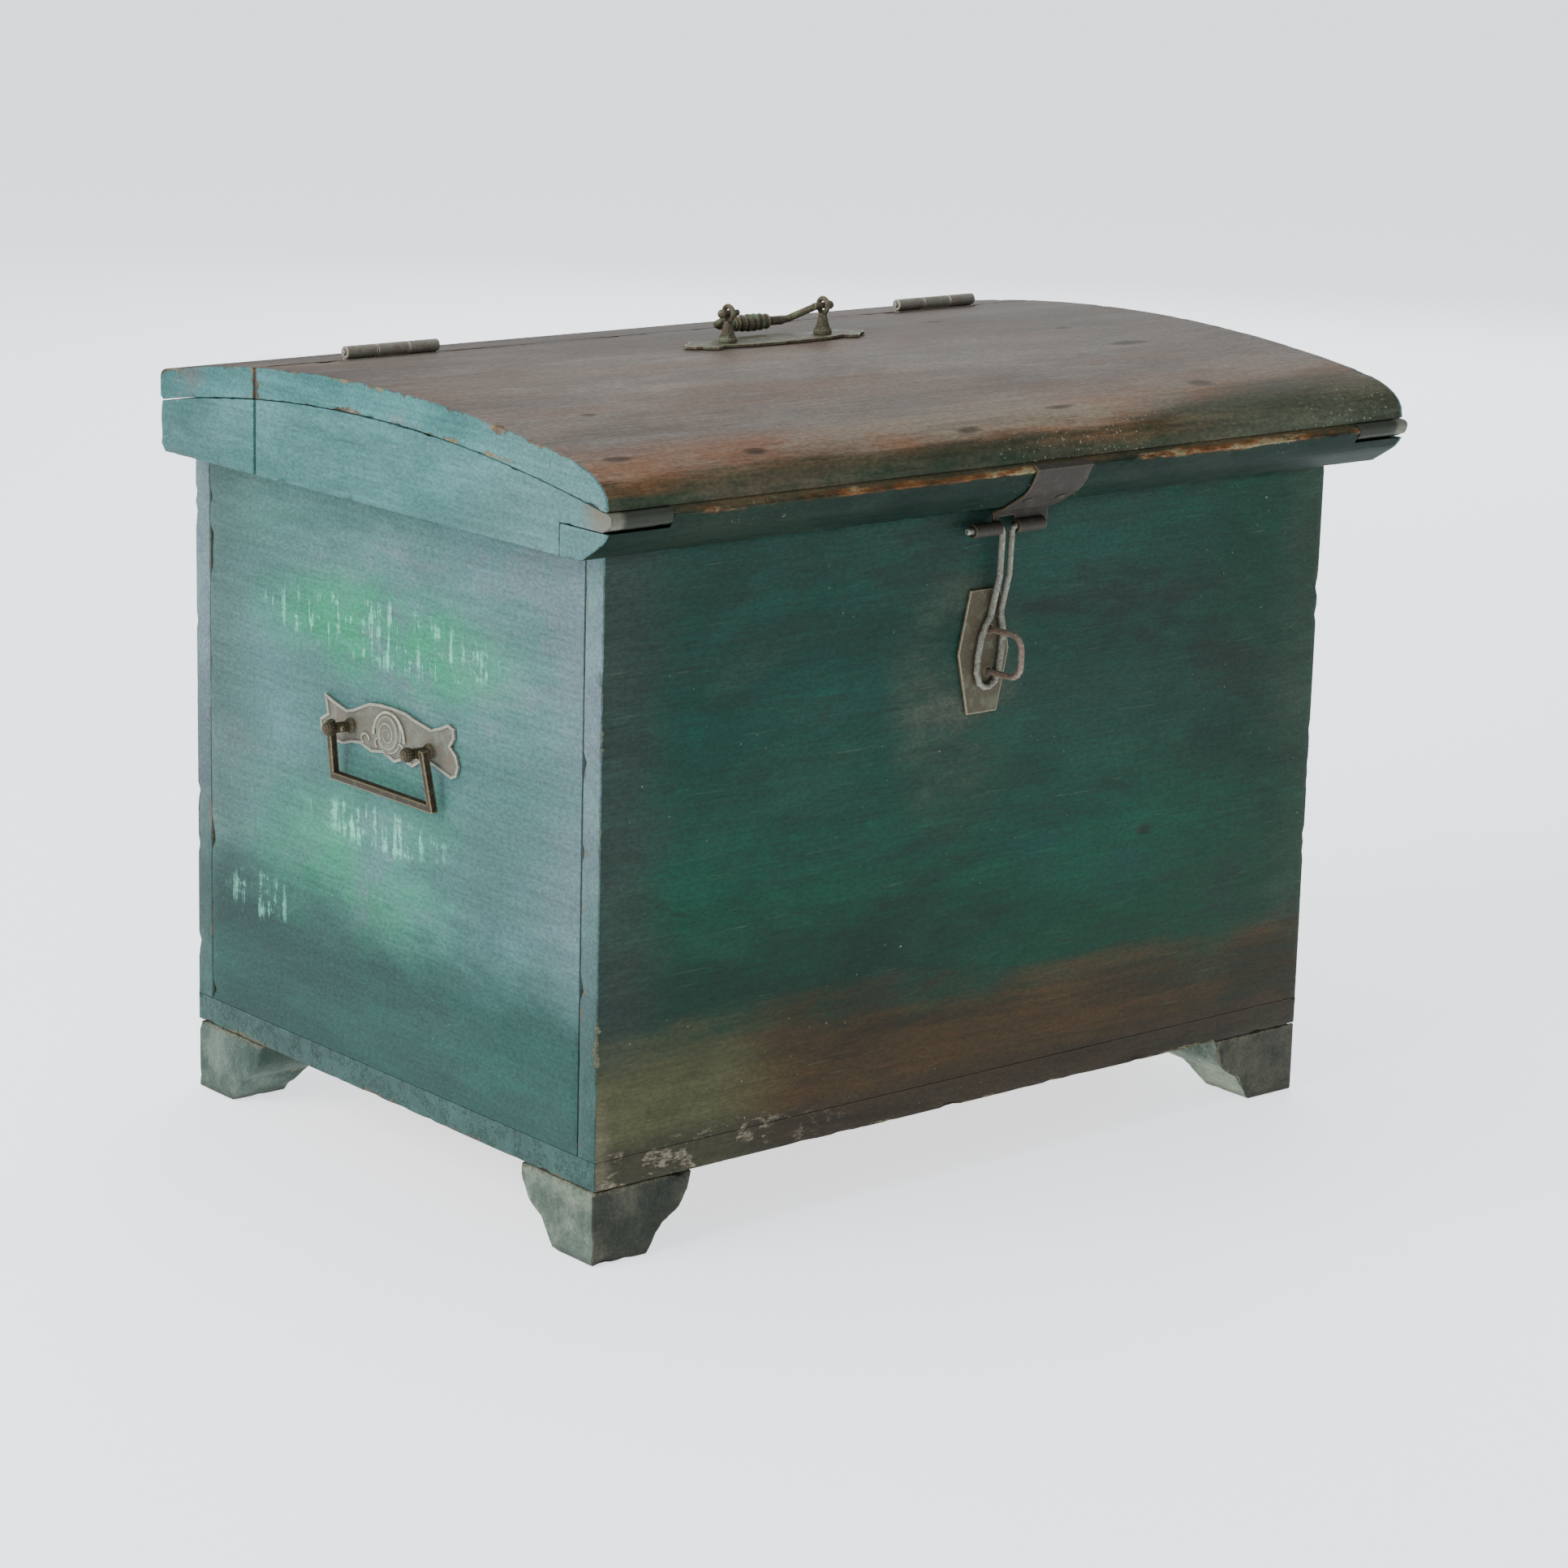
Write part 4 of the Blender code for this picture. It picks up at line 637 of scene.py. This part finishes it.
# %% Nose under the top board
def green_nose():
    f = Finish("dark green nose")
    fine, cloud = streaks(f, "x", 300), f.noise(14, (0.3, 1, 1), 10.0, 0.74)
    grit, murk = dust(f, "x", 480), f.noise(8, (0.4, 1, 1), 9.0, 0.74, (2, 6, 8))
    colour = f.tones(cloud, (22, 42, 36), (34, 46, 38), 0.42, 0.60)
    top = f.between(ragged(f.z, cloud, 0.006), ARRIS_Z - 0.001, ARRIS_Z + 0.002)
    colour = f.coat(colour, f.tones(murk, (66, 70, 58), (94, 82, 64), 0.42, 0.6), top, 0.8)
    colour = aged(f, colour, fine, grit, cloud, murk)

    # The line of bare wood along the arris, broken up, and flecks
    arris = ragged(f.z, f.noise(30, (0.3, 1, 1), 8.0, 0.75, (1, 1, 5)), 0.012) - ARRIS_Z
    line = f.between(abs(arris), 0.0030, 0.0010)
    line = line * f.between(f.noise(30, (0.3, 1, 1), 8.0, 0.78, (6, 1, 5)), 0.46, 0.54)
    rim = f.ramp(
        f.noise(30, (0.4, 1, 1), 6.0, 0.75, (4, 8, 1)),
        (0.40, (60, 54, 40)), (0.50, (122, 86, 62)), (0.56, (158, 148, 120)), (0.62, (84, 82, 62)),
    )
    colour = f.coat(colour, rim, line * f.between(f.z, ARRIS_Z - 0.006, ARRIS_Z - 0.003))
    flecks = specks(f, 380, 0.69, 1.0)
    colour = f.coat(colour, (150, 160, 140), flecks, 0.6)

    # Bare at the back, and side paint on the ends
    back = f.between(f.y, RAIL_BACK - 0.0012, RAIL_BACK - 0.0004)
    colour = f.coat(colour, f.shaded((118, 104, 84), fine), back)
    end, side = lid_end(f, grit, murk)
    colour = f.coat(colour, side, end)
    height = fine * 0.4 + grit * 0.2 + cloud * 0.3 - line * 0.4
    return f.finish(colour, 0.46 + fine * 0.22, height, 0.0006, gloss=0.07)


nose_green = green_nose()


# %% Feet and bare rails
def grey_foot():
    f = Finish("grey green feet")
    fine, cloud = f.noise(200, (1, 1, 0.4), 5.0, 0.65), f.noise(22, (1, 1, 1), 9.0, 0.72)
    grit, murk = f.noise(480, (1, 1, 1), 3.0, 0.7), f.noise(14, (1, 1, 1), 8.0, 0.74, (3, 3, 3))
    colour = f.tones(cloud, (106, 120, 110), (136, 144, 130))
    rear = f.tones(murk, (52, 74, 68), (84, 98, 92))
    colour = f.coat(colour, rear, f.between(f.y, 0.02, 0.12), 0.8)
    # The fronts of the feet are darker partly in their own paint and partly as painted shade, and the right
    # feet's fronts are darker still as painted shade
    front = f.between(f.y, FRONT_Y + 0.0026, FRONT_Y + 0.0016)
    dark = f.tones(murk, (54, 58, 50), (82, 80, 70), 0.42, 0.60)
    colour = f.coat(colour, f.shaded(dark, f.between(f.x, 0.1, -0.1), 0.72, 1.0), front, 0.92)
    colour = aged(f, colour, fine, grit, cloud, murk)
    top = f.between(ragged(f.z, cloud, 0.012), FOOT_TOP - 0.004, FOOT_TOP - 0.001)
    colour = f.coat(colour, f.tones(grit, (84, 80, 68), (140, 136, 120)), top, 0.5)
    worn = rubbed(f, 0.20, "z")
    colour = f.coat(colour, (132, 130, 114), worn, 0.6)
    colour = f.coat(colour, (52, 48, 40), f.between(f.z, 0.006, 0.0), 0.6)
    height = fine * 0.4 + grit * 0.2 + cloud * 0.4 - worn * 0.3
    return f.finish(colour, 0.55 + fine * 0.2, height, 0.0006)


def bare_rail():
    """Bare wood, with paint on what shows of a rail at the back."""
    f = Finish("bare wood")
    fine, cloud = streaks(f, "x", 260), f.noise(12, (0.3, 1, 1), 4.0)
    colour = f.shaded(f.mix(cloud, (108, 94, 74), (142, 128, 104)), fine, 0.72, 1.2)
    painted = f.shaded(f.mix(cloud, (38, 56, 48), (62, 70, 58)), fine, 0.72, 1.2)
    colour = f.coat(colour, painted, f.between(f.y, BACK_Y - 0.012, BACK_Y - 0.010))
    return f.finish(colour, 0.62 + fine * 0.2, fine, 0.0005)


foot_grey, bare_wood = grey_foot(), bare_rail()

# %% [markdown]
# ## Iron
# The ironwork is old and handled: brown-black in the hollows, greyer where it stands proud, with a green
# bloom of tarnish in places. An attribute, "proud", is high on ridges and edges and low in corners.


# %% Iron finishes
def old_iron(name, dark, light, bloom, rust, bloom_share=0.5, metal=0.55):
    f = Finish(name)
    proud = f.attribute("proud")
    grit, cloud = f.noise(900, (1, 1, 1), 4.0, 0.65), f.noise(110, (1, 1, 1), 4.0, 0.6)
    colour = f.tones(ragged(proud, grit, 0.5), dark, light, 0.35, 0.85)
    colour = f.coat(colour, bloom, f.between(cloud, 0.50, 0.66), bloom_share)
    spots = f.between(f.noise(160, (1, 1, 1), 4.0, 0.6, (3, 3, 3)), 0.52, 0.68)
    colour = f.coat(colour, rust, spots, 0.55)
    shine = f.between(proud, 0.35, 0.9)
    roughness, metallic = 0.62 - shine * 0.22 + grit * 0.1, shine * 0.25 + (metal - 0.25)
    return f.finish(colour, roughness, grit * 0.6 + cloud * 0.4, 0.0003, metallic, 0.28)


grip_iron = old_iron("grip iron", (76, 72, 60), (176, 166, 144), (132, 156, 126), (106, 82, 64), 0.6, 0.35)
cast_iron = old_iron(
    "side plate casting", (108, 108, 98), (212, 212, 200), (150, 160, 148), (128, 104, 90), 0.4, 0.30
)
bail_iron = old_iron("side bail iron", (48, 44, 36), (150, 138, 112), (112, 112, 90), (72, 58, 42), 0.3)
wire_iron = old_iron("rubbed wire", (96, 96, 84), (226, 228, 216), (150, 158, 142), (122, 98, 84), 0.4, 0.6)
hinge_iron = old_iron(
    "hinge iron", (134, 132, 124), (220, 216, 204), (164, 168, 150), (136, 114, 96), 0.35, 0.25
)
plate_iron = old_iron(
    "staple plate iron", (84, 80, 66), (170, 164, 142), (132, 142, 118), (104, 82, 64), 0.35, 0.4
)
strap_iron = old_iron("strap iron", (42, 38, 32), (98, 90, 74), (80, 82, 66), (70, 54, 42), 0.35, 0.25)
staple_iron = old_iron(
    "staple iron", (104, 84, 74), (206, 196, 182), (150, 150, 136), (128, 98, 84), 0.4, 0.4
)

# %% [markdown]
# ## From a solid to a worn board
# A board from the solid model has dead sharp corners and two triangles a side. A copy of it is merged, its
# corners are bevelled, and planes slice it into a grid, so that each point can then sink a little, and more
# where a chip has gone. Points only move inwards, so the gaps between boards stay open. Two joints are filled
# with paint and stay tight: the one above the base, and the one in the nose, where the lip of the top board
# and the top of the front rail are drawn together.

# %% Boards with worn corners
SAME_POINT, FLAT, SHARP = 1e-5, 0.003, 0.5  # metres and radians: what is merged, dissolved and bevelled
LIP_BAND, FOOT_BAND, LIP_REACH, TONGUE = 0.0030, 0.0010, 0.03, 0.02  # how far the painted joints reach
WEAR_REACH, SAMPLE_STEP = 0.009, 0.003  # how far from a corner wear is felt, and how finely it is followed
EASED, UNEVEN = 0.0003, 0.0001  # how deep corners sink, and how uneven any face is
SWELL_SIZE, BITE_SIZE, BITE_LEVEL, BITE_SPAN = 18, 95, 0.22, 0.5  # the noise behind unevenness and chips
RAIL_PULL = Vector((0, -0.0017, 0.0003))


def merged_copy(node):
    bm = bmesh.new()
    bm.from_mesh(frame["nodes"][node].data)
    bmesh.ops.remove_doubles(bm, verts=bm.verts, dist=SAME_POINT)
    bmesh.ops.dissolve_limit(bm, angle_limit=FLAT, verts=bm.verts, edges=bm.edges)
    return bm


def sharp_edges(bm):
    return [e for e in bm.edges if e.is_manifold and e.calc_face_angle(0) > SHARP]


def slice_up(bm, step):
    """Cuts every face along planes this far apart on each axis."""
    corners = [v.co for v in bm.verts]
    for axis, spacing in enumerate(step):
        low, high = min(c[axis] for c in corners), max(c[axis] for c in corners)
        count = max(1, round((high - low) / spacing))
        normal = Vector((axis == 0, axis == 1, axis == 2))
        for i in range(1, count):
            bmesh.ops.bisect_plane(
                bm, geom=[*bm.verts, *bm.edges, *bm.faces], dist=1e-6,
                plane_co=normal * (low + (high - low) * i / count), plane_no=normal,
            )


def shown(bm, name, look, node, sharp=38):
    """The finished mesh as an object that rides with its node's body and stands for that node."""
    mesh = mesh_from(name, bm)
    mesh.materials.append(look)
    mesh.shade_smooth()
    mesh.set_sharp_from_angle(angle=radians(sharp))
    piece = placed(name, mesh)
    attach(piece, frame["nodes"][node]["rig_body"])
    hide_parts(node)


def painted_over(place):
    """The long joints in the nose and above the base are filled with paint, so they stay sharp and tight."""
    in_nose = place.y < NOSE_Y + LIP_REACH and abs(place.x) < LID_X - TONGUE
    return in_nose and abs(place.z - LIP_Z) < LIP_BAND or abs(place.z - WALL_FOOT) < FOOT_BAND


def corner_tree(edges):
    """Points along these edges, to look up how far away the nearest corner is."""
    ends = [(e.verts[0].co.copy(), e.verts[1].co.copy()) for e in edges]
    samples = []
    for a, b in ends:
        count = max(1, int((b - a).length / SAMPLE_STEP))
        samples += [a.lerp(b, i / count) for i in range(count + 1)]
    tree = KDTree(len(samples))
    for i, place in enumerate(samples):
        tree.insert(place, i)
    tree.balance()
    return tree


def close_nose_joint(bm, node):
    """Draws the lip of the lid's top board and the top of its front rail together."""
    if node == "lid_top_board":
        for v in bm.verts:
            if v.co.z < LIP_Z + 0.0008 and v.co.y < LIP_Y + 0.0045:
                v.co.y = LIP_Y + 0.0003
    if node == "lid_front_rail":
        top = max(v.co.z for v in bm.verts if v.co.y < LIP_Y + 0.003)
        for v in bm.verts:
            if v.co.y < LIP_Y + 0.004 and v.co.z > ARRIS_Z:
                v.co += RAIL_PULL * ((v.co.z - ARRIS_Z) / (top - ARRIS_Z))


def worn_board(node, look, step, corner, chips, seed):
    """A board in a grid of this step, with bevelled corners worn away and chips up to this deep."""
    bm = merged_copy(node)
    open_edges = [e for e in sharp_edges(bm) if not painted_over((e.verts[0].co + e.verts[1].co) / 2)]
    tree = corner_tree(open_edges)
    bmesh.ops.bevel(
        bm, geom=open_edges, offset=corner, offset_type="OFFSET", segments=2, profile=0.5,
        affect="EDGES", clamp_overlap=True, material=-1,
    )
    slice_up(bm, step)
    close_nose_joint(bm, node)
    bm.normal_update()
    edge, below, moves = bm.verts.layers.float.new("edge"), bm.verts.layers.float.new("below"), []
    for v in bm.verts:
        v[below] = float(v.normal.z < -0.9 and v.co.y > NOSE_Y + 0.02)
        near = 0.0 if painted_over(v.co) else max(0.0, 1 - tree.find(v.co)[2] / WEAR_REACH)
        v[edge] = near
        swell = noise.noise(v.co * SWELL_SIZE + Vector((seed, 0, 0))) * 0.5 + 0.5
        bite = max(0.0, noise.noise(v.co * BITE_SIZE + Vector((0, seed, 0))) - BITE_LEVEL) / BITE_SPAN
        moves.append(v.normal * -(near * (EASED * swell + chips * bite) + UNEVEN * swell))
    for v, move in zip(bm.verts, moves):
        v.co += move
    count = len(bm.faces)
    shown(bm, f"{node}_worn", look, node)
    print(node, count, "faces")


walls = (
    ("front_board", dark_green), ("back_board", dark_green),
    ("left_side_board", faded_teal), ("right_side_board", faded_teal),
)
for seed, (node, look) in enumerate(walls):
    worn_board(node, look, (0.006, 0.006, 0.006), 0.0009, 0.0020, seed)
worn_board("base_board", dark_green, (0.006, 0.006, 0.005), 0.0004, 0.0012, 5)

# %% Lid and the strip behind it
lid_boards = (
    ("lid_top_board", lid_wood), ("strip_top_board", lid_wood), ("lid_front_rail", nose_green),
    ("lid_left_cheek", cheek_teal), ("lid_right_cheek", cheek_teal),
    ("strip_left_cheek", cheek_teal), ("strip_right_cheek", cheek_teal),
)
for seed, (node, look) in enumerate(lid_boards):
    worn_board(node, look, (0.005, 0.005, 0.005), 0.0005, 0.0015, seed + 10)

# %% Feet and rails
for seed, node in enumerate(("front_left_foot", "front_right_foot", "rear_left_foot", "rear_right_foot")):
    worn_board(node, foot_grey, (0.005, 0.005, 0.004), 0.0012, 0.0022, seed + 20)
for seed, node in enumerate(("lid_seam_rail", "strip_seam_rail", "strip_back_rail")):
    worn_board(node, bare_wood, (0.012, 0.012, 0.012), 0.0006, 0.0004, seed + 30)

# %% [markdown]
# ## Forged and cast iron
# Castings have no sharp corner anywhere. Overlapping closed shapes are joined into one soft skin by a voxel
# remesh about a third of a millimetre fine, and then eased. How far each point stands out from its
# neighbours is kept as the "proud" attribute that the iron finishes read.

# %% Soft skins for iron
ON_A_FLAT, PROUD_GAIN = 0.4, 4.0
HAMMERED, HAMMER_SIZE = 0.00006, 400  # depth of the hammer's unevenness, and its noise
ALL_SMOOTH = 80  # degrees, past which an edge of an iron piece is still shaded sharp


def applied(thing, *helpers):
    """A bmesh of an object as its modifiers leave it. The object and its helpers are removed."""
    made = bpy.data.meshes.new_from_object(thing.evaluated_get(bpy.context.evaluated_depsgraph_get()))
    for used in (thing, *helpers):
        bpy.data.objects.remove(used)
    bm = bmesh.new()
    bm.from_mesh(made)
    return bm


def softened(bm, voxel, passes):
    """One smooth skin round whatever closed shapes the bmesh holds."""
    holder = placed("rough shape", mesh_from("rough shape", bm))
    skin = holder.modifiers.new("skin", "REMESH")
    skin.mode, skin.voxel_size = "VOXEL", voxel
    ease = holder.modifiers.new("ease", "SMOOTH")
    ease.factor, ease.iterations = 0.5, passes
    return applied(holder)


def mark_proud(bm, reach):
    """Stores how far each point stands out from its surroundings: 0.4 on a flat, more on a ridge."""
    bm.normal_update()
    layer = bm.verts.layers.float.new("proud")
    raw = {}
    for v in bm.verts:
        around = [e.other_vert(v).co for e in v.link_edges]
        raw[v] = sum((v.co - c).dot(v.normal) for c in around) / (len(around) * reach)
    for _ in range(2):
        raw = {
            v: (raw[v] + sum(raw[e.other_vert(v)] for e in v.link_edges)) / (len(v.link_edges) + 1)
            for v in bm.verts
        }
    for v in bm.verts:
        v[layer] = min(1.0, max(0.0, ON_A_FLAT + raw[v] * PROUD_GAIN))


def iron_piece(node, look, voxel, passes, bm=None):
    """The node's own shape, or the given one, as a soft skin of this fineness, eased this often."""
    bm = softened(bm or merged_copy(node), voxel, passes)
    mark_proud(bm, voxel)
    for v in bm.verts:
        v.co += v.normal * HAMMERED * noise.noise(v.co * HAMMER_SIZE)
    count = len(bm.faces)
    shown(bm, f"{node}_iron", look, node, ALL_SMOOTH)
    print(node, count, "faces")


def tube_along(points, radius):
    """A bmesh of a round wire along these points, thinner by each point's fourth number if it has one."""
    curve = bpy.data.curves.new("wire", "CURVE")
    curve.dimensions, curve.bevel_depth, curve.bevel_resolution, curve.use_fill_caps = "3D", radius, 3, True
    spline = curve.splines.new("POLY")
    spline.points.add(len(points) - 1)
    for point, place in zip(spline.points, points):
        point.co, point.radius = (*place[:3], 1), place[3] if len(place) > 3 else 1
    bm = applied(placed("wire", curve))
    bmesh.ops.remove_doubles(bm, verts=bm.verts, dist=1e-6)
    return bm


def add_to(bm, other):
    """Puts another bmesh's shapes into this one."""
    bm.from_mesh(mesh_from("added", other))


# %% Hasp, staple and strap
iron_piece("hasp_wire", wire_iron, 0.0004, 4)
iron_piece("staple", staple_iron, 0.0004, 3)
iron_piece("hasp_strap", strap_iron, 0.00035, 2)
iron_piece("staple_plate", plate_iron, 0.0004, 2)
for i in (1, 2):
    iron_piece(f"strap_nail_{i}", strap_iron, 0.0003, 2)

# %% Hinges
for side in ("left", "right"):
    iron_piece(f"{side}_hinge_fixed_leaf", hinge_iron, 0.0004, 2)
    iron_piece(f"{side}_hinge_lid_leaf", hinge_iron, 0.0004, 2)
    iron_piece(f"{side}_hinge_pin", hinge_iron, 0.0003, 2)

# %% Screws
SLOT_LENGTH, SLOT_DEPTH, SLOT_WIDTH = 0.0070, 0.0012, 0.0007  # the cutter lies half in the head
SCREW_EASE = 0.0001


def slotted_screw(node):
    """A countersunk screw with a cut across its head, turned a little differently each time."""
    low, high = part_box(node)
    middle, head_y = (low + high) / 2, low.y if "fixed" in node else high.y
    turned = Matrix.Rotation(noise.noise(middle * 900) * pi, 4, "Y")
    size = Matrix.Diagonal((SLOT_LENGTH, SLOT_DEPTH, SLOT_WIDTH, 1))
    blade = bmesh.new()
    bmesh.ops.create_cube(
        blade, size=1, matrix=Matrix.Translation((middle.x, head_y, middle.z)) @ turned @ size
    )
    screw = placed("screw", mesh_from("screw", merged_copy(node)))
    tool = placed("slot", mesh_from("slot", blade))
    cut = screw.modifiers.new("slot", "BOOLEAN")
    cut.object, cut.solver = tool, "EXACT"
    bm = applied(screw, tool)
    bmesh.ops.bevel(
        bm, geom=sharp_edges(bm), offset=SCREW_EASE, segments=1, profile=0.5,
        affect="EDGES", clamp_overlap=True, material=-1,
    )
    bm.verts.layers.float.new("proud")
    shown(bm, f"{node}_iron", hinge_iron, node)


for side in ("left", "right"):
    for leaf in ("fixed", "lid"):
        for i in (1, 2, 3):
            slotted_screw(f"{side}_{leaf}_screw_{i}")
print("twelve slotted screws")

# %% [markdown]
# ## The lid's handle
# The bail is forged: a thick bar with six beads turned on it as a grip, cranked at each side up to its pins.
# The posts are cast, with a ring each. The plate is thin sheet with a lobed tip at each end.

# %% Top handle
BEADS, BEAD_PITCH, BEAD_HALF_LENGTH = 6, 0.005, 0.0024
BEAD_RADIUS, BEAD_SWELL = 0.0049, 0.0010  # the end beads, and how much thicker the grip's middle is
BAR_IN, BAR_UP = 0.0058, 0.0058  # the bar's axis from the back and the bottom of the bail
bail_low, bail_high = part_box("top_bail")
grip_x, bar_y, bar_z = (bail_low.x + bail_high.x) / 2, bail_high.y - BAR_IN, bail_low.z + BAR_UP
grip = merged_copy("top_bail")
for i in range(BEADS):
    swell = BEAD_RADIUS + BEAD_SWELL * sin(pi * (i + 0.6) / 6.2)
    at = Matrix.Translation((grip_x - BEAD_PITCH * (BEADS - 1) / 2 + BEAD_PITCH * i, bar_y, bar_z))
    shape = at @ Matrix.Diagonal((BEAD_HALF_LENGTH, swell, swell, 1))
    bead = bmesh.new()
    bmesh.ops.create_uvsphere(bead, u_segments=24, v_segments=12, radius=1, matrix=shape)
    add_to(grip, bead)
iron_piece("top_bail", grip_iron, 0.0003, 2, grip)
for side in ("left", "right"):
    iron_piece(f"top_handle_{side}_post", grip_iron, 0.0003, 2)
iron_piece("top_handle_plate", grip_iron, 0.00035, 2)

# %% [markdown]
# ## Side handles
# Each end has a cast plate shaped like a bat's wings: a raised rim all round, a scroll under an arch in its
# middle, and four small curls below. The rim is inset from the plate's own face.

# %% Side plates with a raised rim and a scroll
PLATE_THICK, RIM_WIDTH, RIM_HEIGHT = 0.0025, 0.0018, 0.0010
SCROLL_Z, SCROLL_BACK = 0.287, 0.002
SCROLL_STEPS, SCROLL_TURN, SCROLL_CORE, SCROLL_SPAN, SCROLL_WIRE = 46, 0.24, 0.0013, 0.0068, 0.0008
ARCH_RADIUS, ARCH_DROP, ARCH_STEPS, ARCH_WIRE = 0.0165, 0.0035, 14, 0.0011
CURLS = ((-0.011, 1), (0.011, -1), (0.026, -1), (-0.026, 1))  # place along the plate, and which way it turns
CURL_WIDE, CURL_HIGH, CURL_DROP, CURL_WIRE = 0.0042, 0.0036, 0.0085, 0.0007


def side_plate(side, sign):
    node = f"{side}_handle_plate"
    low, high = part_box(node)
    face_x, middle = sign * (WALL_X + PLATE_THICK), (low + high) / 2
    disc_y = middle.y - SCROLL_BACK
    bm = merged_copy(node)
    bm.normal_update()

    # The rim: the face is inset, and what is inside it sinks
    outward = [f for f in bm.faces if f.normal.x * sign > 0.9]
    face = [f for f in outward if abs(f.calc_center_median().x - face_x) < 0.0004]
    bmesh.ops.inset_region(
        bm, faces=face, thickness=RIM_WIDTH, depth=0.0, use_boundary=True, use_even_offset=True
    )
    sunk = bmesh.ops.extrude_face_region(bm, geom=face)
    bmesh.ops.delete(bm, geom=face, context="FACES")
    for v in {v for v in sunk["geom"] if isinstance(v, bmesh.types.BMVert)}:
        v.co.x -= sign * RIM_HEIGHT

    # The scroll, its arch and the curls
    spiral = []
    for i in range(SCROLL_STEPS):
        along = i / SCROLL_STEPS
        turn, size = -0.6 + i * SCROLL_TURN, SCROLL_CORE + SCROLL_SPAN * (1 - along) ** 0.9
        y, z = disc_y + 0.001 + size * cos(turn), SCROLL_Z - 0.001 + size * sin(turn)
        spiral.append((face_x + sign * RIM_HEIGHT, y, z, 1 - 0.4 * along))
    add_to(bm, tube_along(spiral, SCROLL_WIRE))
    y, z, turns = disc_y, SCROLL_Z - ARCH_DROP, [t * pi / ARCH_STEPS for t in range(ARCH_STEPS + 1)]
    arch = [(face_x, y + ARCH_RADIUS * cos(turn), z + ARCH_RADIUS * sin(turn)) for turn in turns]
    add_to(bm, tube_along(arch, ARCH_WIRE))
    for offset, lean in CURLS:
        x, y, z = face_x - sign * 0.0003, disc_y + offset, middle.z - CURL_DROP
        turns = [t * 0.45 for t in range(10)]
        curl = [(x, y + lean * CURL_WIDE * cos(turn), z + CURL_HIGH * sin(turn)) for turn in turns]
        add_to(bm, tube_along(curl, CURL_WIRE))
    bmesh.ops.recalc_face_normals(bm, faces=bm.faces)
    iron_piece(node, cast_iron, 0.0004, 1, bm)


for side, sign in (("left", -1), ("right", 1)):
    side_plate(side, sign)
    iron_piece(f"{side}_bail", bail_iron, 0.0004, 1)
    for which in ("front", "rear"):
        iron_piece(f"{side}_handle_{which}_post", bail_iron, 0.0003, 2)
